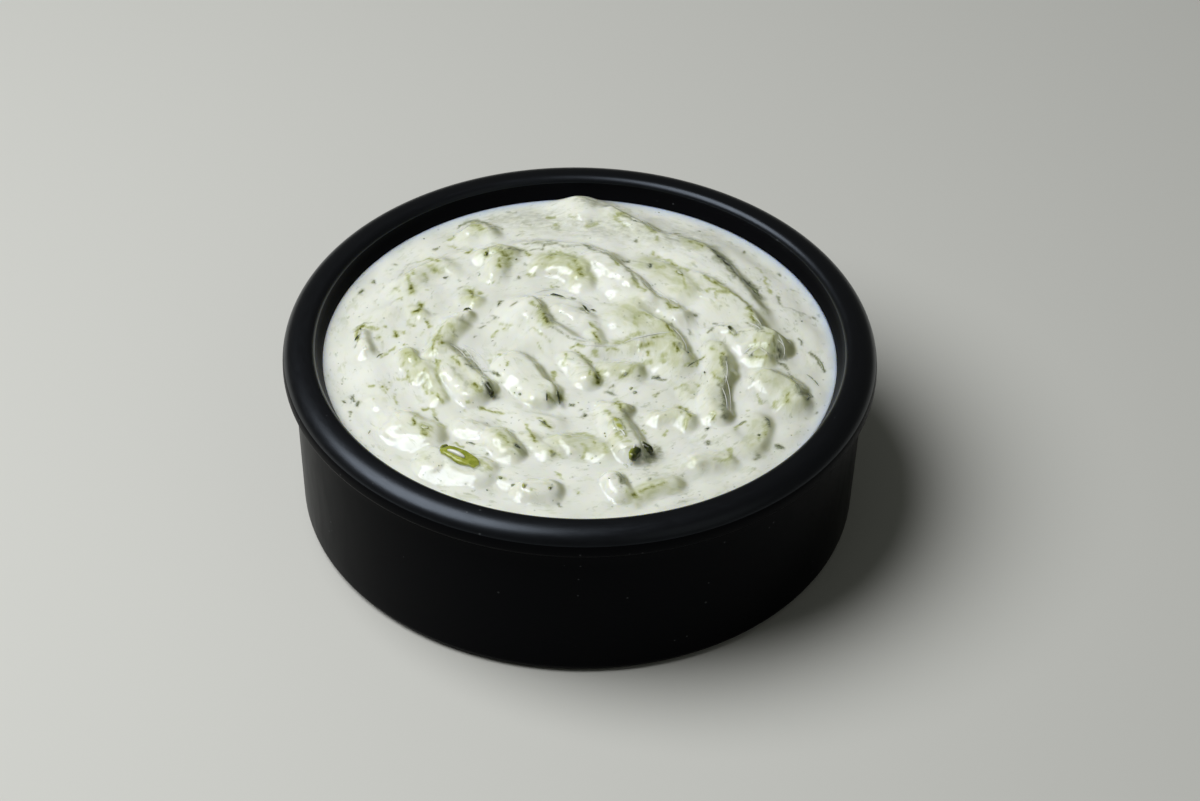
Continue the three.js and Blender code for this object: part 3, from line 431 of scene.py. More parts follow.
    (-27.1, -18.8, -27.1, -19.9, 0.28, 0.85), (-25.5, -20.4, -24.9, -21, 0.55, 0.85),
    (-25.2, -21.2, -25, -22.6, 0.8, 0.55), (-22.9, -20, -22, -20.6, 0.6, 0.42),
    (-18.4, -13.9, -18.3, -14.3, 0.35, 0.45), (-18.9, -16, -18.8, -16.6, 0.3, 0.3),
    (-16.4, -15.6, -14, -16.4, 0.33, 0.6), (-14, -16.4, -12.8, -16.9, 0.33, 0.65),
    (-12.9, -16.6, -12.8, -16.8, 0.25, 0.85), (-13.6, -18.2, -12.8, -19, 0.3, 0.3),
    (-17.3, -9.4, -16.5, -11, 0.65, 0.68), (-3.4, -11, -3, -13, 0.6, 0.65),
    (-4.9, -11.8, -4.3, -13.2, 0.5, 0.68), (-6.6, -17.8, -5.8, -18.8, 0.25, 0.5),
    (-5.8, -18.9, -4.7, -19.9, 0.38, 0.85), (-8.7, -19.4, -8, -21.4, 0.3, 0.5),
    (-8, -21.4, -7, -23.6, 0.38, 0.65), (-13.4, -21, 0.25, 0.5), (-13, -21.8, -12.4, -22.3, 0.5, 0.65),
    (-11.8, -20.8, -11.8, -21.2, 0.3, 0.6), (-12.1, -22.6, -11.6, -24, 0.4, 0.65),
    (-1.6, -22.2, 0.6, -21.6, 0.7, 0.35), (0.8, -21.6, 2.6, -22.6, 0.8, 0.35),
    (2.6, -23.6, 2.7, -23.9, 0.38, 0.65), (0.9, -24.6, 1.5, -25.6, 0.75, 0.42),
    (1.1, -26, 0.9, -27.6, 0.35, 0.5), (4.2, -24.4, 4.8, -25.8, 0.7, 0.38), (2.2, -27.7, 0.22, 0.6),
    (5.6, -14, 0.2, 0.7), (6.2, -13.5, 7.4, -15.4, 0.45, 0.8), (4.4, -15.4, 5, -16.4, 0.5, 0.45),
    (5.6, -17.3, 6.1, -18, 0.45, 0.5), (6.5, -18.4, 7.1, -20.4, 0.75, 0.8),
    (6.5, -21.4, 6.8, -22.4, 0.65, 0.5), (7.4, -21, 7.8, -21.8, 0.4, 0.5),
    (10.4, -20.6, 10.9, -21.2, 0.28, 0.6), (14.5, -20.2, 14.1, -21.8, 0.25, 0.45),
    (16.2, -14.2, 17.6, -14.9, 0.28, 0.6), (17.6, -14.9, 18.4, -16.6, 0.3, 0.7),
    (17.8, -17.2, 17.4, -19.8, 0.55, 0.5), (16.8, -15.6, 16.8, -15.7, 0.25, 0.6), (13.8, -14.5, 0.22, 0.6),
    (16, -9.6, 17.6, -8.6, 0.4, 0.38), (17.6, -8.8, 18.6, -10.6, 0.6, 0.3),
    (19.5, -8.3, 19.7, -9, 0.35, 0.42), (21.9, -15.6, 22, -17.4, 0.35, 0.6),
    (12.9, -11.3, 12.6, -11.6, 0.45, 0.4), (28.9, -1.4, 31, -0.8, 0.8, 0.5),
    (35.6, -6.2, 36.3, -9, 0.38, 0.75), (34.8, -10.2, 34.4, -12.4, 0.42, 0.65),
    (32.6, -12.6, 32.6, -14, 0.6, 0.45), (29.6, -11, 30.3, -13.2, 0.4, 0.4),
    (30.6, -7.6, 31.6, -7, 0.3, 0.3), (28, -14.9, 0.25, 0.5), (27.3, -17.9, 26.4, -18.8, 0.2, 0.65),
    (26.4, -18.8, 25.8, -19.9, 0.2, 0.6), (27.9, -18.6, 0.2, 0.6), (31, -18, 30.6, -21, 0.55, 0.5),
    (29.6, -21.2, 0.2, 0.8), (29.6, -21.8, 29.6, -22.6, 0.3, 0.42), (24.9, -25, 24.8, -27.2, 0.5, 0.45),
    (22.4, -27.6, 24.4, -27.6, 0.6, 0.35), (-20.2, -24.6, -18.8, -25.6, 0.25, 0.5),
    (-16, -29, -14.4, -30.6, 0.8, 0.42), (-14.2, -32.6, 0.3, 0.6), (-12.5, -33, -12.5, -33.1, 0.35, 0.85),
    (-10.4, -34.7, 0.2, 0.7), (-7.5, -35.6, -7.3, -35.8, 0.4, 0.42), (-6.7, -36.6, 0.3, 0.35),
    (-10.5, -24, -9.2, -26.2, 0.9, 0.45), (-4.5, -26.2, -3.5, -26.9, 0.6, 0.65),
    (-3.6, -31.4, -2.6, -33, 0.25, 0.42), (9, -36.4, 9.3, -37, 0.5, 0.78),
    (10.4, -35.8, 11.3, -34.7, 0.5, 0.65), (11.3, -34.7, 13.6, -33.8, 0.5, 0.65),
    (8, -35.4, 8.1, -36, 0.4, 0.5), (0.1, -36.6, 0.4, -36.2, 0.28, 0.5), (7.2, -23.2, 8.2, -23, 0.5, 0.35),
]
# Grey smears: herbs and skin, and painted shade and shadows.
GREY_SMEARS_AND_SHADE = [
    (-0.4, 42.4, 2.2, 40.8, 1.7, 0.32), (-15, 36, 21, 31, 4.5, 0.2), (2, 40.6, 8, 39, 1.5, 0.18),
    (-11, 36.4, -4, 38, 1.6, 0.2), (12, 29, 19, 25.4, 1.6, 0.14), (9, -4, 17, -9, 2, 0.14),
    (24, 18, 29, 9, 1.6, 0.12), (28, 22, 33, 14, 1.6, 0.12), (27, -4, 29, -12, 1.6, 0.12),
    (-26, 31, -20, 35, 1.4, 0.12), (-22, 33, -20.2, 34.8, 0.3, 0.5), (-20.2, 34.8, -18, 35.2, 0.3, 0.5),
    (-18, 35.2, -16.4, 34.2, 0.35, 0.55), (-16.2, 34, -13.9, 32.8, 0.45, 0.4),
    (-31.5, 18.5, -30.2, 22, 0.22, 0.3), (-30.2, 22, -28.6, 23.4, 0.22, 0.35),
    (-25.8, 26.8, -24.9, 27.1, 0.3, 0.55), (-13.3, 37.7, -11.6, 37.8, 0.4, 0.3),
    (-10.6, 34.7, -9.2, 34.2, 0.4, 0.35), (-11.5, 31.2, -10.3, 31.6, 0.3, 0.3),
    (-10.9, 19.3, -10.8, 19.1, 0.28, 0.65), (-4.5, 17.2, -4, 16.8, 0.2, 0.5),
    (-35.8, 17.7, -35.8, 17.2, 0.24, 0.8), (-32.3, 22.5, -32.2, 22.3, 0.24, 0.6),
    (-23.4, 19, -23.3, 19, 0.25, 0.85), (-37.4, 15.1, -37.8, 14.2, 0.2, 0.9),
    (-20.9, 16, -20.4, 16.4, 0.3, 0.42), (-21.1, 18.4, -21, 18, 0.18, 0.4),
    (-9.8, 23.3, -9.8, 23, 0.22, 0.5), (-10, 28.6, -8.4, 29.2, 0.5, 0.34),
    (-8.4, 29.2, -4.6, 29, 0.7, 0.42), (-4.6, 29, -3.3, 28, 0.4, 0.36), (-3.2, 28.1, 0.4, 28.6, 0.4, 0.3),
    (0.5, 28.6, 2.2, 27.3, 0.4, 0.7), (-16.8, 27.2, -15, 27.9, 0.2, 0.45),
    (-15, 27.9, -12.8, 27.3, 0.22, 0.5), (-12.8, 27.3, -9.8, 26.7, 0.25, 0.65),
    (-9.8, 26.8, -6.8, 27.4, 0.22, 0.45), (-6.8, 27.4, -6.7, 28.5, 0.3, 0.5),
    (2.4, 27, 4.4, 26.2, 0.4, 0.36), (4.4, 26.2, 5.6, 24.6, 0.4, 0.4), (7.2, 24.5, 8.2, 24.1, 0.25, 0.6),
    (7.5, 22.8, 8.6, 20.6, 0.38, 0.6), (8.6, 20.6, 9.6, 18.8, 0.35, 0.5),
    (11.7, 23.3, 11.7, 23.1, 0.3, 0.9), (11, 24.2, 9, 24.4, 0.3, 0.3), (9.3, 30.1, 9.5, 30, 0.38, 0.6),
    (7.4, 37.2, 8.6, 36.2, 0.33, 0.55), (8.6, 36.2, 11.2, 34.6, 0.3, 0.45),
    (14, 31.4, 16.8, 30.2, 0.4, 0.35), (16.3, 32.7, 16.8, 32.4, 0.3, 0.5), (22.4, 28.2, 23.9, 26, 0.4, 0.8),
    (23.9, 26, 25.4, 23.8, 0.62, 0.95), (25.4, 23.8, 26.5, 21, 0.55, 0.8),
    (24.6, 24.2, 26, 20.9, 0.25, 0.55), (27.6, 20.1, 28.7, 18.9, 0.55, 0.7),
    (28.7, 18.9, 29.8, 17, 0.6, 0.85), (29.8, 17, 30.5, 15, 0.6, 0.8), (28.4, 27.7, 28.2, 27.3, 0.26, 0.5),
    (34.3, 21.6, 34.3, 21.3, 0.28, 0.55), (33.7, 15.4, 34, 13.4, 0.28, 0.6),
    (35.8, 17.6, 37.3, 16.6, 0.3, 0.3), (34.2, 13, 38, 10.8, 0.32, 0.28), (38, 10.8, 40.3, 9, 0.32, 0.3),
    (39.8, 10, 39.8, 9.6, 0.25, 0.45), (40.4, 10.7, 40.8, 10.2, 0.25, 0.45),
    (29.6, 8, 30.4, 6.5, 0.4, 0.65), (28, 8, 30, 6.3, 0.35, 0.45), (22.9, 7.4, 0.24, 0.7),
    (22.3, 6.5, 21.6, 5, 0.18, 0.5), (23, 7.5, 24.8, 7, 0.16, 0.5), (26.5, 5.5, 29, 6, 0.16, 0.35),
    (29, 6, 31.2, 5.8, 0.16, 0.4), (33.3, 2.6, 33.6, -1, 0.45, 0.8), (33.4, 0.4, 34.6, -1.8, 0.5, 0.3),
    (37, 4.2, 37.5, 2.4, 0.22, 0.5), (35.2, 5.8, 0.25, 0.3), (38.8, 0.4, 39.9, -1, 0.25, 0.7),
    (39.9, -1, 41, -4.6, 0.26, 0.6), (-38, 5, -37, 6, 0.2, 0.45), (-37, 6, -35.2, 6.4, 0.2, 0.35),
    (-38, -0.2, -37.6, 1.2, 0.18, 0.5), (-36.8, 0.4, -36.1, -1, 0.18, 0.45),
    (-24.6, 8.9, -24.6, 8.8, 0.38, 0.3), (-21.3, 4.4, -20.9, 3, 0.3, 0.4),
    (-22, 1.2, -20.2, -0.9, 0.16, 0.6), (-20.2, -0.9, -18.5, -3.6, 0.2, 0.65),
    (-21.6, 0.4, -19.8, -2.2, 0.14, 0.5), (-19.4, -1, -18, -3, 0.3, 0.55),
    (-18.7, -4.2, -17.9, -5, 0.26, 0.7), (-20.1, 8.8, -20.2, 7.2, 0.45, 0.35),
    (-13.7, 12.6, -14.1, 11.6, 0.24, 0.75), (-14.9, 8.7, -14.6, 8.3, 0.26, 0.75),
    (-15.7, 6.9, -15.8, 6.6, 0.18, 0.5), (-17, 5.3, -16.2, 5.9, 0.26, 0.45),
    (-16.7, 6.8, -16.5, 6.6, 0.24, 0.3), (-17.7, 3.2, -18, 2.8, 0.24, 0.5),
    (-10.9, 12.7, -11.9, 11.4, 0.2, 0.5), (-5.5, 9.2, -4.8, 7.6, 0.65, 0.45),
    (-4.8, 6.2, -2.5, 3.9, 0.3, 0.42), (-2.5, 3.9, -1, 2.9, 0.3, 0.42), (-1, 2.9, 0.9, 2.2, 0.28, 0.4),
    (-1.8, 14, -1.1, 13.7, 0.2, 0.5), (0.2, 11, 1.2, 10, 0.6, 0.5), (-14.6, -6.3, -13.4, -7, 0.24, 0.75),
    (-18.6, -5, -14.6, -6.3, 0.16, 0.45), (19.6, 10.1, 19.7, 9.6, 0.3, 0.7),
    (18.4, 6, 18.6, 4.6, 0.28, 0.42), (16.6, 2.2, 17.6, 0.4, 0.25, 0.6), (18, -0.1, 18.2, -0.3, 0.28, 0.65),
    (15.3, 7.6, 16.6, 3.4, 0.2, 0.5), (13, -6.7, 13, -6.9, 0.3, 0.9), (12.4, -6.9, 14.2, -7.5, 0.25, 0.85),
    (9.9, -6.6, 9.8, -6.9, 0.22, 0.6), (16.1, -6.5, 0.18, 0.5), (4.1, 12.6, 0.2, 0.42),
    (7.4, 9.5, 7.4, 9.3, 0.18, 0.42), (-35.7, -12.3, 0.2, 0.4), (-37.9, -13, -37.9, -13.9, 0.2, 0.6),
    (-37.9, -13.9, -37.2, -14.5, 0.18, 0.55), (-36.5, -14.6, -36.8, -15.6, 0.22, 0.75),
    (-39, -14.7, -39, -14.6, 0.24, 0.6), (-37.8, -17, -37.9, -18.2, 0.2, 0.5),
    (-31.7, -9.4, -31.7, -9.5, 0.15, 0.45), (-21.4, -4.8, -19.4, -8, 0.6, 0.25),
    (-18.6, -8.4, -19, -11, 0.8, 0.25), (-15.4, -10, -14.7, -11.8, 0.5, 0.9),
    (-16, -8.6, -15.4, -10.4, 0.35, 0.8), (-14.2, -11.4, -13.6, -12.6, 0.7, 0.3),
    (-1.2, -14.4, -1.1, -14.4, 0.2, 0.95), (-1.6, -13.7, -1.2, -14.3, 0.12, 0.6),
    (0.9, -16.8, 0.9, -17, 0.26, 0.85), (0.2, -15.6, 0.3, -15.7, 0.2, 0.6),
    (0.8, -17.8, 0.9, -17.8, 0.18, 0.4), (-2.2, -17.7, 0.2, 0.4), (5.6, -9.2, 5, -9.8, 0.26, 0.65),
    (4.7, -10.9, 5.4, -11.4, 0.28, 0.8), (5.4, -10.2, 5.8, -11.6, 0.5, 0.3),
    (8.6, -9.7, 8.6, -9.9, 0.18, 0.65), (9.2, -10.8, 9.2, -10.9, 0.18, 0.85),
    (13.1, -10.8, 13.1, -11.1, 0.22, 0.7), (12.3, -9.8, 0.14, 0.5), (7.4, -15.2, 8, -16.6, 0.35, 0.5),
    (10.3, -19.5, 10.9, -19.5, 0.18, 0.4), (16.5, -22.6, 16.5, -22.8, 0.18, 0.35),
    (19.5, -23.1, 0.18, 0.42), (21.3, -19.5, 21.1, -20.1, 0.22, 0.75),
    (21.1, -23.1, 21.5, -23.6, 0.26, 0.9), (23.3, -8, 23.8, -11, 0.35, 0.5),
    (24.3, -1, 24.3, -6, 0.4, 0.55), (24.3, -6, 24, -11, 0.45, 0.5), (24, -11, 24.2, -16.6, 0.55, 0.65),
    (28.8, -0.4, 28.7, -0.8, 0.2, 0.95), (33.3, -2, 34.8, -4, 0.22, 0.7),
    (28.6, -6.5, 29, -7.3, 0.16, 0.55), (36.2, -8, 36.8, -10.6, 0.42, 0.8),
    (35, -4.8, 35.8, -6.6, 0.25, 0.6), (38.2, -10.4, 38.6, -11, 0.24, 0.8),
    (38.6, -11, 37.8, -12, 0.2, 0.7), (25.8, -13.2, 0.18, 0.4), (28, -16.5, 0.18, 0.5),
    (31, -17.2, 31.4, -18.8, 0.22, 0.75), (28.7, -20.7, 0.14, 0.5), (32.7, -23.9, 33.4, -24.6, 0.3, 0.9),
    (29.5, -26, 28.9, -27.3, 0.3, 0.6), (39.2, -15.4, 39.4, -15.3, 0.24, 0.5), (34.7, -19.3, 0.28, 0.3),
    (-18, -24.4, -17.2, -24.7, 0.25, 0.8), (-15.1, -27.2, -15, -27.3, 0.24, 0.55),
    (-11.3, -27.3, -11.3, -27.4, 0.24, 0.55), (-10.1, -24.9, -9.9, -25.1, 0.32, 0.95),
    (-9.4, -25.6, -8.6, -26.8, 0.8, 0.35), (-4.2, -27.1, -3.7, -26.8, 0.2, 0.9), (-24.7, -32, 0.18, 0.4),
    (-17.2, -36.4, -16.6, -36.2, 0.25, 0.35), (-27.4, -26.3, 0.18, 0.5), (-23.2, -24.1, 0.24, 0.4),
    (-1, -32.3, -0.9, -32.5, 0.2, 0.5), (-3.2, -39.2, -2.5, -39.9, 0.22, 0.5),
    (1.6, -40, 1.6, -40.1, 0.15, 0.5), (-0.3, -30.1, 0, -30.2, 0.18, 0.3),
    (6.2, -31.4, 7, -32.2, 0.33, 0.75), (7, -32.2, 7.4, -33.6, 0.35, 0.7), (7, -30.4, 8.6, -30.6, 0.6, 0.2),
    (11.5, -32.6, 11.5, -32.8, 0.2, 0.75), (10.6, -31.2, 13.2, -31.7, 0.35, 0.25),
    (11.9, -25.8, 11.9, -27.4, 0.9, 0.75), (10.8, -27, 11.4, -28.2, 0.8, 0.6),
    (12.6, -39, 13, -39.4, 0.35, 0.3), (12.6, -24.6, 13.4, -26.4, 0.8, 0.4),
]
SMEAR_WARP = 0.4
SMEAR_WARP_PITCH = 1.1
SMEAR_SEEDS = (12, 13)
HALO = 0.42
HALO_REACH = 2.5

# Specks of herb and skin: places alone.
SPECKS = [
    (-23.4, 19.0), (-35.8, 17.4), (-9.8, -11.7), (9.2, -10.8), (8.6, -9.8), (-1.1, -14.4),
    (0.9, -16.9), (-12.5, -33.0), (-10.4, -34.7), (29.6, -21.2), (11.7, 23.2), (19.6, 9.9),
    (13.0, -6.8), (21.2, -19.8), (-10.0, -25.0), (28.8, -0.6), (-39.0, -14.7), (18.1, -0.2),
]
SPECK_SEED = 5
SPECK_SIZES = (0.22, 0.38)
SPECK_LENGTHS = (1.0, 1.7)
SPECK_HEIGHTS = (0.4, 0.7)
SPECK_ROUGHNESS = (0.7, 1.15)
SPECK_SUNK = 0.15

# Scattered bits: how many, the margin that they leave at the wall, how far they turn from the
# spoon's circles in degrees, and the ranges that their sizes are drawn from.
SCATTERED_DILL = 12
SCATTERED_SPECKS = 90
SCATTER_MARGIN = 1.6
HEADING_SPREAD = 32
DILL_SEED = 21
DILL_DEPTHS = (0.0, 0.5)
SCATTERED_LENGTHS = (0.5, 1.5)
SCATTERED_WIDTHS = (0.12, 0.26)
SCATTERED_BENDS = (-0.2, 0.2)
SCATTERED_DEPTHS = (0.2, 1.0)
SMALLEST_SPECK = 0.06
SPECK_SPREAD = 0.16

# ------------------------------------------------------------------ patches and colours
# Patches of noise, drawn out along the spoon's circles: size, how far drawn out, and shift.
MILK_PATCHES = (7.0, 1.5, 3.0)
SHARED_PATCHES = (4.0, 1.6, 8.0)
SOFT_PATCHES = (1.5, 1.8, 1.0)
STREAK_PATCHES = (0.75, 2.2, 5.0)
BROKEN_PATCHES = (0.8, 1.5, 2.0)
WORN_PATCHES = (0.5, 6.0, 4.0)
STRAND_PATCHES = (1.5, 1.5, 6.0)

# How a pattern of noise becomes a value: its gain and its start.
BROKEN_RANGE = (2.4, -0.25)
GLAZE_ROUGHNESS = (0.16, 0.24)
YOGURT_ROUGHNESS = (0.12, 0.055)

# Dots: pitch, reach in cells, and the share of the cells that have one.
GLAZE_DOTS = (2.6, 0.075, 0.3)
YOGURT_DOTS = (1.4, 0.16, 0.2)

# Layers of colour: the values at which each starts and is full, and its colour.
MILK = (0.35, 0.65, (0.825, 0.84, 0.77))
LUMP_GREEN = (0.0, 0.75, (0.53, 0.56, 0.32))
GREEN_LAYERS = [
    (0.06, 0.42, (0.52, 0.55, 0.32)),
    (0.35, 0.78, (0.235, 0.25, 0.055)),
    (0.72, 1.0, (0.065, 0.072, 0.014)),
]
# These layers also lay painted shade and shadows, from the grey smears.
GREY_AND_SHADE_LAYERS = [
    (0.05, 0.5, (0.36, 0.38, 0.26)),
    (0.45, 0.95, (0.06, 0.065, 0.035)),
]
FLESH_DARK = (0.35, 0.65, (0.24, 0.28, 0.03))
SKIN_PALE = (0.4, 0.7, (0.08, 0.09, 0.02))
SHRED_FILM = (0.6, 1.25, (0.62, 0.65, 0.48))
DILL_PALE = (0.35, 0.68, (0.20, 0.24, 0.09))

# Faint green in the yogurt: where its own patches start and are full, the same for the patches that
# both kinds share, and its colour.
SOFT_GREEN = ((0.50, 0.70), (0.36, 0.60), (0.52, 0.56, 0.36))
STREAK_GREEN = ((0.58, 0.70), (0.38, 0.60), (0.26, 0.30, 0.14))
FAINT_SHARE = 0.35

# Other colours, with the share or the band that they are laid on with.
YOGURT = (0.785, 0.80, 0.715)
# Painted cool sheen at the dip's edge, on a thin film of yogurt, strongest at the back right.
RIM_SHEEN_TINT = (0.53, 0.63, 0.75)
# Painted shade: an olive tint on flanks that fall away from the key light, where cucumber also shows through.
FLANK_SHADE_TINT = (0.33, 0.345, 0.13)
FLANK_SHADE_BAND = (0.03, 0.6)
FLANK_SHADE_SHARE = 0.8
LUMP_GAIN = 1.2
DOT_TINT = (0.16, 0.19, 0.09)
DOT_SHARE = 0.35
STRAND_TINTS = ((0.66, 0.68, 0.58), (0.86, 0.87, 0.82))
FLESH = (0.37, 0.40, 0.07)
SKIN = (0.020, 0.026, 0.010)
SKIN_BAND = (0.5, 1.0)
SKIN_GRAIN = 0.5
FILM_GRAIN = 0.7
DILL_TINT = (0.05, 0.07, 0.035)
VEIL_TINT = (0.50, 0.54, 0.38)
VEIL_BAND = (0.4, 0.6)
VEIL_SHARE = 0.6
GLAZE = (0.003, 0.003, 0.0035)
GLAZE_DUST = (0.2, 0.21, 0.22)
DUST_SHARE = 0.2
CLAY_TINTS = ((0.03, 0.027, 0.024), (0.09, 0.08, 0.07))
FLOOR_TINT = (0.60, 0.60, 0.56, 1)

# ------------------------------------------------------------------ camera and light
VIEW_AIM = (3.55, 3.24, 16.25)
VIEW_AZIMUTH = -0.37
VIEW_ELEVATION = 40.14
VIEW_ROLL = 1.24
VIEW_DISTANCE = 706
LENS = 123.8
SENSOR_WIDTH = 36
NEAR_CLIP = 10
FLOOR_HALF = 900

# Lights: direction, distance, size, power and colour.
KEY_LIGHT = ((-0.49, -0.04, 0.87), 620, 520, 4.3, (0.975, 0.985, 1))
FILL_LIGHT = ((0.6, -0.6, 0.6), 1200, 900, 0.4, (0.98, 1, 0.9))
SOFT_LIGHT = 0.12
SOFT_TINT = (0.52, 0.54, 0.5, 1)


# ------------------------------------------------------------------ small helpers
def finish_mesh(name, bm, materials, smooth=True):
    """Turns a bmesh in millimetres into an object in metres."""
    bmesh.ops.scale(bm, vec=(MM, MM, MM), verts=bm.verts)
    mesh = bpy.data.meshes.new(name)
    bm.to_mesh(mesh)
    bm.free()
    for material in materials:
        mesh.materials.append(material)
    for polygon in mesh.polygons:
        polygon.use_smooth = smooth
    piece = bpy.data.objects.new(name, mesh)
    bpy.context.scene.collection.objects.link(piece)
    return piece


def finish_bits(name, bm, material):
    """One kind of bits that lie on the dip, as one piece."""
    piece = finish_mesh(name, bm, [material])
    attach(piece, "root")


def arc(r, z, radius, start, end, steps):
    """Points of an arc in a profile, round a middle (r, z), between two angles in degrees."""
    points = []
    for i in range(steps + 1):
        angle = math.radians(start + (end - start) * i / steps)
        points.append((r + radius * math.cos(angle), z + radius * math.sin(angle)))
    return points


def straight(a, b, steps):
    """Points between two profile points, without either end."""
    return [
        (a[0] + (b[0] - a[0]) * i / steps, a[1] + (b[1] - a[1]) * i / steps)
        for i in range(1, steps)
    ]


def turned(x, y, along, across, heading):
    """Places along and across a heading in degrees from x, y."""
    angle = math.radians(heading)
    return (
        x + along * math.cos(angle) - across * math.sin(angle),
        y + along * math.sin(angle) + across * math.cos(angle),
    )


def beside(x, y, start, end):
    """Half of a line's length, the share along it from -1 to 1, and how far left of it places are."""
    half = math.hypot(end[0] - start[0], end[1] - start[1]) / 2
    ax, ay = (end[0] - start[0]) / half / 2, (end[1] - start[1]) / half / 2
    dx, dy = x - (start[0] + end[0]) / 2, y - (start[1] + end[1]) / 2
    return half, (dx * ax + dy * ay) / half, dy * ax - dx * ay


def eased(value):
    """0 below 0, 1 above 1, smooth between."""
    value = np.clip(value, 0, 1)
    return value * value * (3 - 2 * value)


# ------------------------------------------------------------------ node helpers
def new_material(name, **values):
    """A material, its tree and its shader; the values are set on the shader's own sockets."""
    material = bpy.data.materials.new(name)
    material.use_nodes = True
    shader = material.node_tree.nodes["Principled BSDF"]
    for key, value in values.items():
        shader.inputs[key.replace("_", " ")].default_value = value
    return material, material.node_tree, shader


def add(tree, kind, **values):
    """A new node; each value is one of its properties or of its sockets."""
    node = tree.nodes.new(kind)
    for key, value in values.items():
        if hasattr(node, key):
            setattr(node, key, value)
        else:
            node.inputs[key.replace("_", " ")].default_value = value
    return node


def give(tree, socket, value):
    """Gives a socket a number, or links another socket to it."""
    if isinstance(value, bpy.types.NodeSocket):
        tree.links.new(value, socket)
    else:
        socket.default_value = value


def own_place(tree):
    return add(tree, "ShaderNodeTexCoord").outputs["Object"]


def noise_node(tree, scale, detail):
    """Noise in the object's own space; the scale is in patches a metre."""
    cloud = add(tree, "ShaderNodeTexNoise", Scale=scale, Detail=detail)
    tree.links.new(own_place(tree), cloud.inputs["Vector"])
    return cloud.outputs["Fac"]


def attribute_parts(tree, name):
    """The red, green and blue parts of a mesh attribute."""
    found = add(tree, "ShaderNodeAttribute", attribute_name=name)
    split = add(tree, "ShaderNodeSeparateColor")
    tree.links.new(found.outputs["Color"], split.inputs["Color"])
    return split.outputs


def math_node(tree, operation, *values):
    """A maths node; each value is a number or a socket."""
    node = add(tree, "ShaderNodeMath", operation=operation)
    for socket, value in zip(node.inputs, values):
        give(tree, socket, value)
    return node.outputs["Value"]


def band(tree, value, low, high):
    """0 below low, 1 above high, smooth between."""
    node = add(tree, "ShaderNodeMapRange", interpolation_type="SMOOTHSTEP", From_Min=low, From_Max=high)
    tree.links.new(value, node.inputs["Value"])
    return node.outputs["Result"]


def mix_colours(tree, factor, a, b):
    """Mixes two colours; each is a colour or a socket."""
    node = add(tree, "ShaderNodeMix", data_type="RGBA")
    tree.links.new(factor, node.inputs[0])
    for socket, value in ((node.inputs[6], a), (node.inputs[7], b)):
        give(tree, socket, (*value, 1) if isinstance(value, tuple) else value)
    return node.outputs[2]


def lay_over(tree, colour, value, low, high, layer):
    """Lays one colour over another, from nothing where a value is low to all where it is high."""
    return mix_colours(tree, band(tree, value, low, high), colour, layer)


# ------------------------------------------------------------------ shader groups
def new_group(name, inputs, outputs):
    """A node group with sockets: inputs are (name, start value), outputs (name, kind)."""
    group = bpy.data.node_groups.new(name, "ShaderNodeTree")
    for label, start in inputs:
        socket = group.interface.new_socket(label, in_out="INPUT", socket_type="NodeSocketFloat")
        socket.default_value = start
    for label, kind in outputs:
        group.interface.new_socket(label, in_out="OUTPUT", socket_type="NodeSocket" + kind)
    return group, group.nodes.new("NodeGroupInput"), group.nodes.new("NodeGroupOutput")


def swirl_group():
    """Noise in patches of a size in mm, drawn out along circles round the Z axis."""
    group, given, result = new_group(
        "swirl_noise", [("Size", 2.0), ("Stretch", 3.0), ("Shift", 0.0)], [("Value", "Float")])
    links = group.links
    parts = add(group, "ShaderNodeSeparateXYZ")
    links.new(own_place(group), parts.inputs[0])
    x, y, _ = parts.outputs
    square = math_node(group, "MULTIPLY", x, x)
    radius = math_node(group, "SQRT", math_node(group, "MULTIPLY_ADD", y, y, square))
    per_size = math_node(group, "DIVIDE", 1 / MM, given.outputs["Size"])
    per_length = math_node(group, "DIVIDE", per_size, given.outputs["Stretch"])
    where = add(group, "ShaderNodeCombineXYZ")
    along = math_node(group, "MULTIPLY_ADD", x, per_length, given.outputs["Shift"])
    links.new(along, where.inputs["X"])
    links.new(math_node(group, "MULTIPLY", y, per_length), where.inputs["Y"])
    links.new(math_node(group, "MULTIPLY", radius, per_size), where.inputs["Z"])
    cloud = add(group, "ShaderNodeTexNoise", Scale=1.0, Detail=3.0, Roughness=0.55, Distortion=0.4)
    links.new(where.outputs["Vector"], cloud.inputs["Vector"])
    links.new(cloud.outputs["Fac"], result.inputs["Value"])
    return group


def wet_group():
    """A fine uneven wet surface: a normal, and a spread of values for roughness."""
    group, given, result = new_group(
        "wet_surface", [("Size", 0.8), ("Depth", 0.02)], [("Normal", "Vector"), ("Spread", "Float")])
    links = group.links
    cloud = noise_node(group, 1, 2)
    links.new(math_node(group, "DIVIDE", 1 / MM, given.outputs["Size"]), cloud.node.inputs["Scale"])
    bump = add(group, "ShaderNodeBump")
    links.new(cloud, bump.inputs["Height"])
    links.new(math_node(group, "MULTIPLY", given.outputs["Depth"], MM), bump.inputs["Distance"])
    links.new(bump.outputs["Normal"], result.inputs["Normal"])
    links.new(cloud, result.inputs["Spread"])
    return group


def use_group(tree, group, **values):
    node = tree.nodes.new("ShaderNodeGroup")
    node.node_tree = group
    for key, value in values.items():
        node.inputs[key].default_value = value
    return node


SWIRL_NOISE = swirl_group()
WET_SURFACE = wet_group()


def swirls(tree, size, stretch, shift):
    return use_group(tree, SWIRL_NOISE, Size=size, Stretch=stretch, Shift=shift).outputs["Value"]


def make_wet(tree, shader, size, depth):
    """Gives a shader the wet surface, with hollows of a size and depth in mm; returns its spread."""
    node = use_group(tree, WET_SURFACE, Size=size, Depth=depth)
    tree.links.new(node.outputs["Normal"], shader.inputs["Normal"])
    return node.outputs["Spread"]


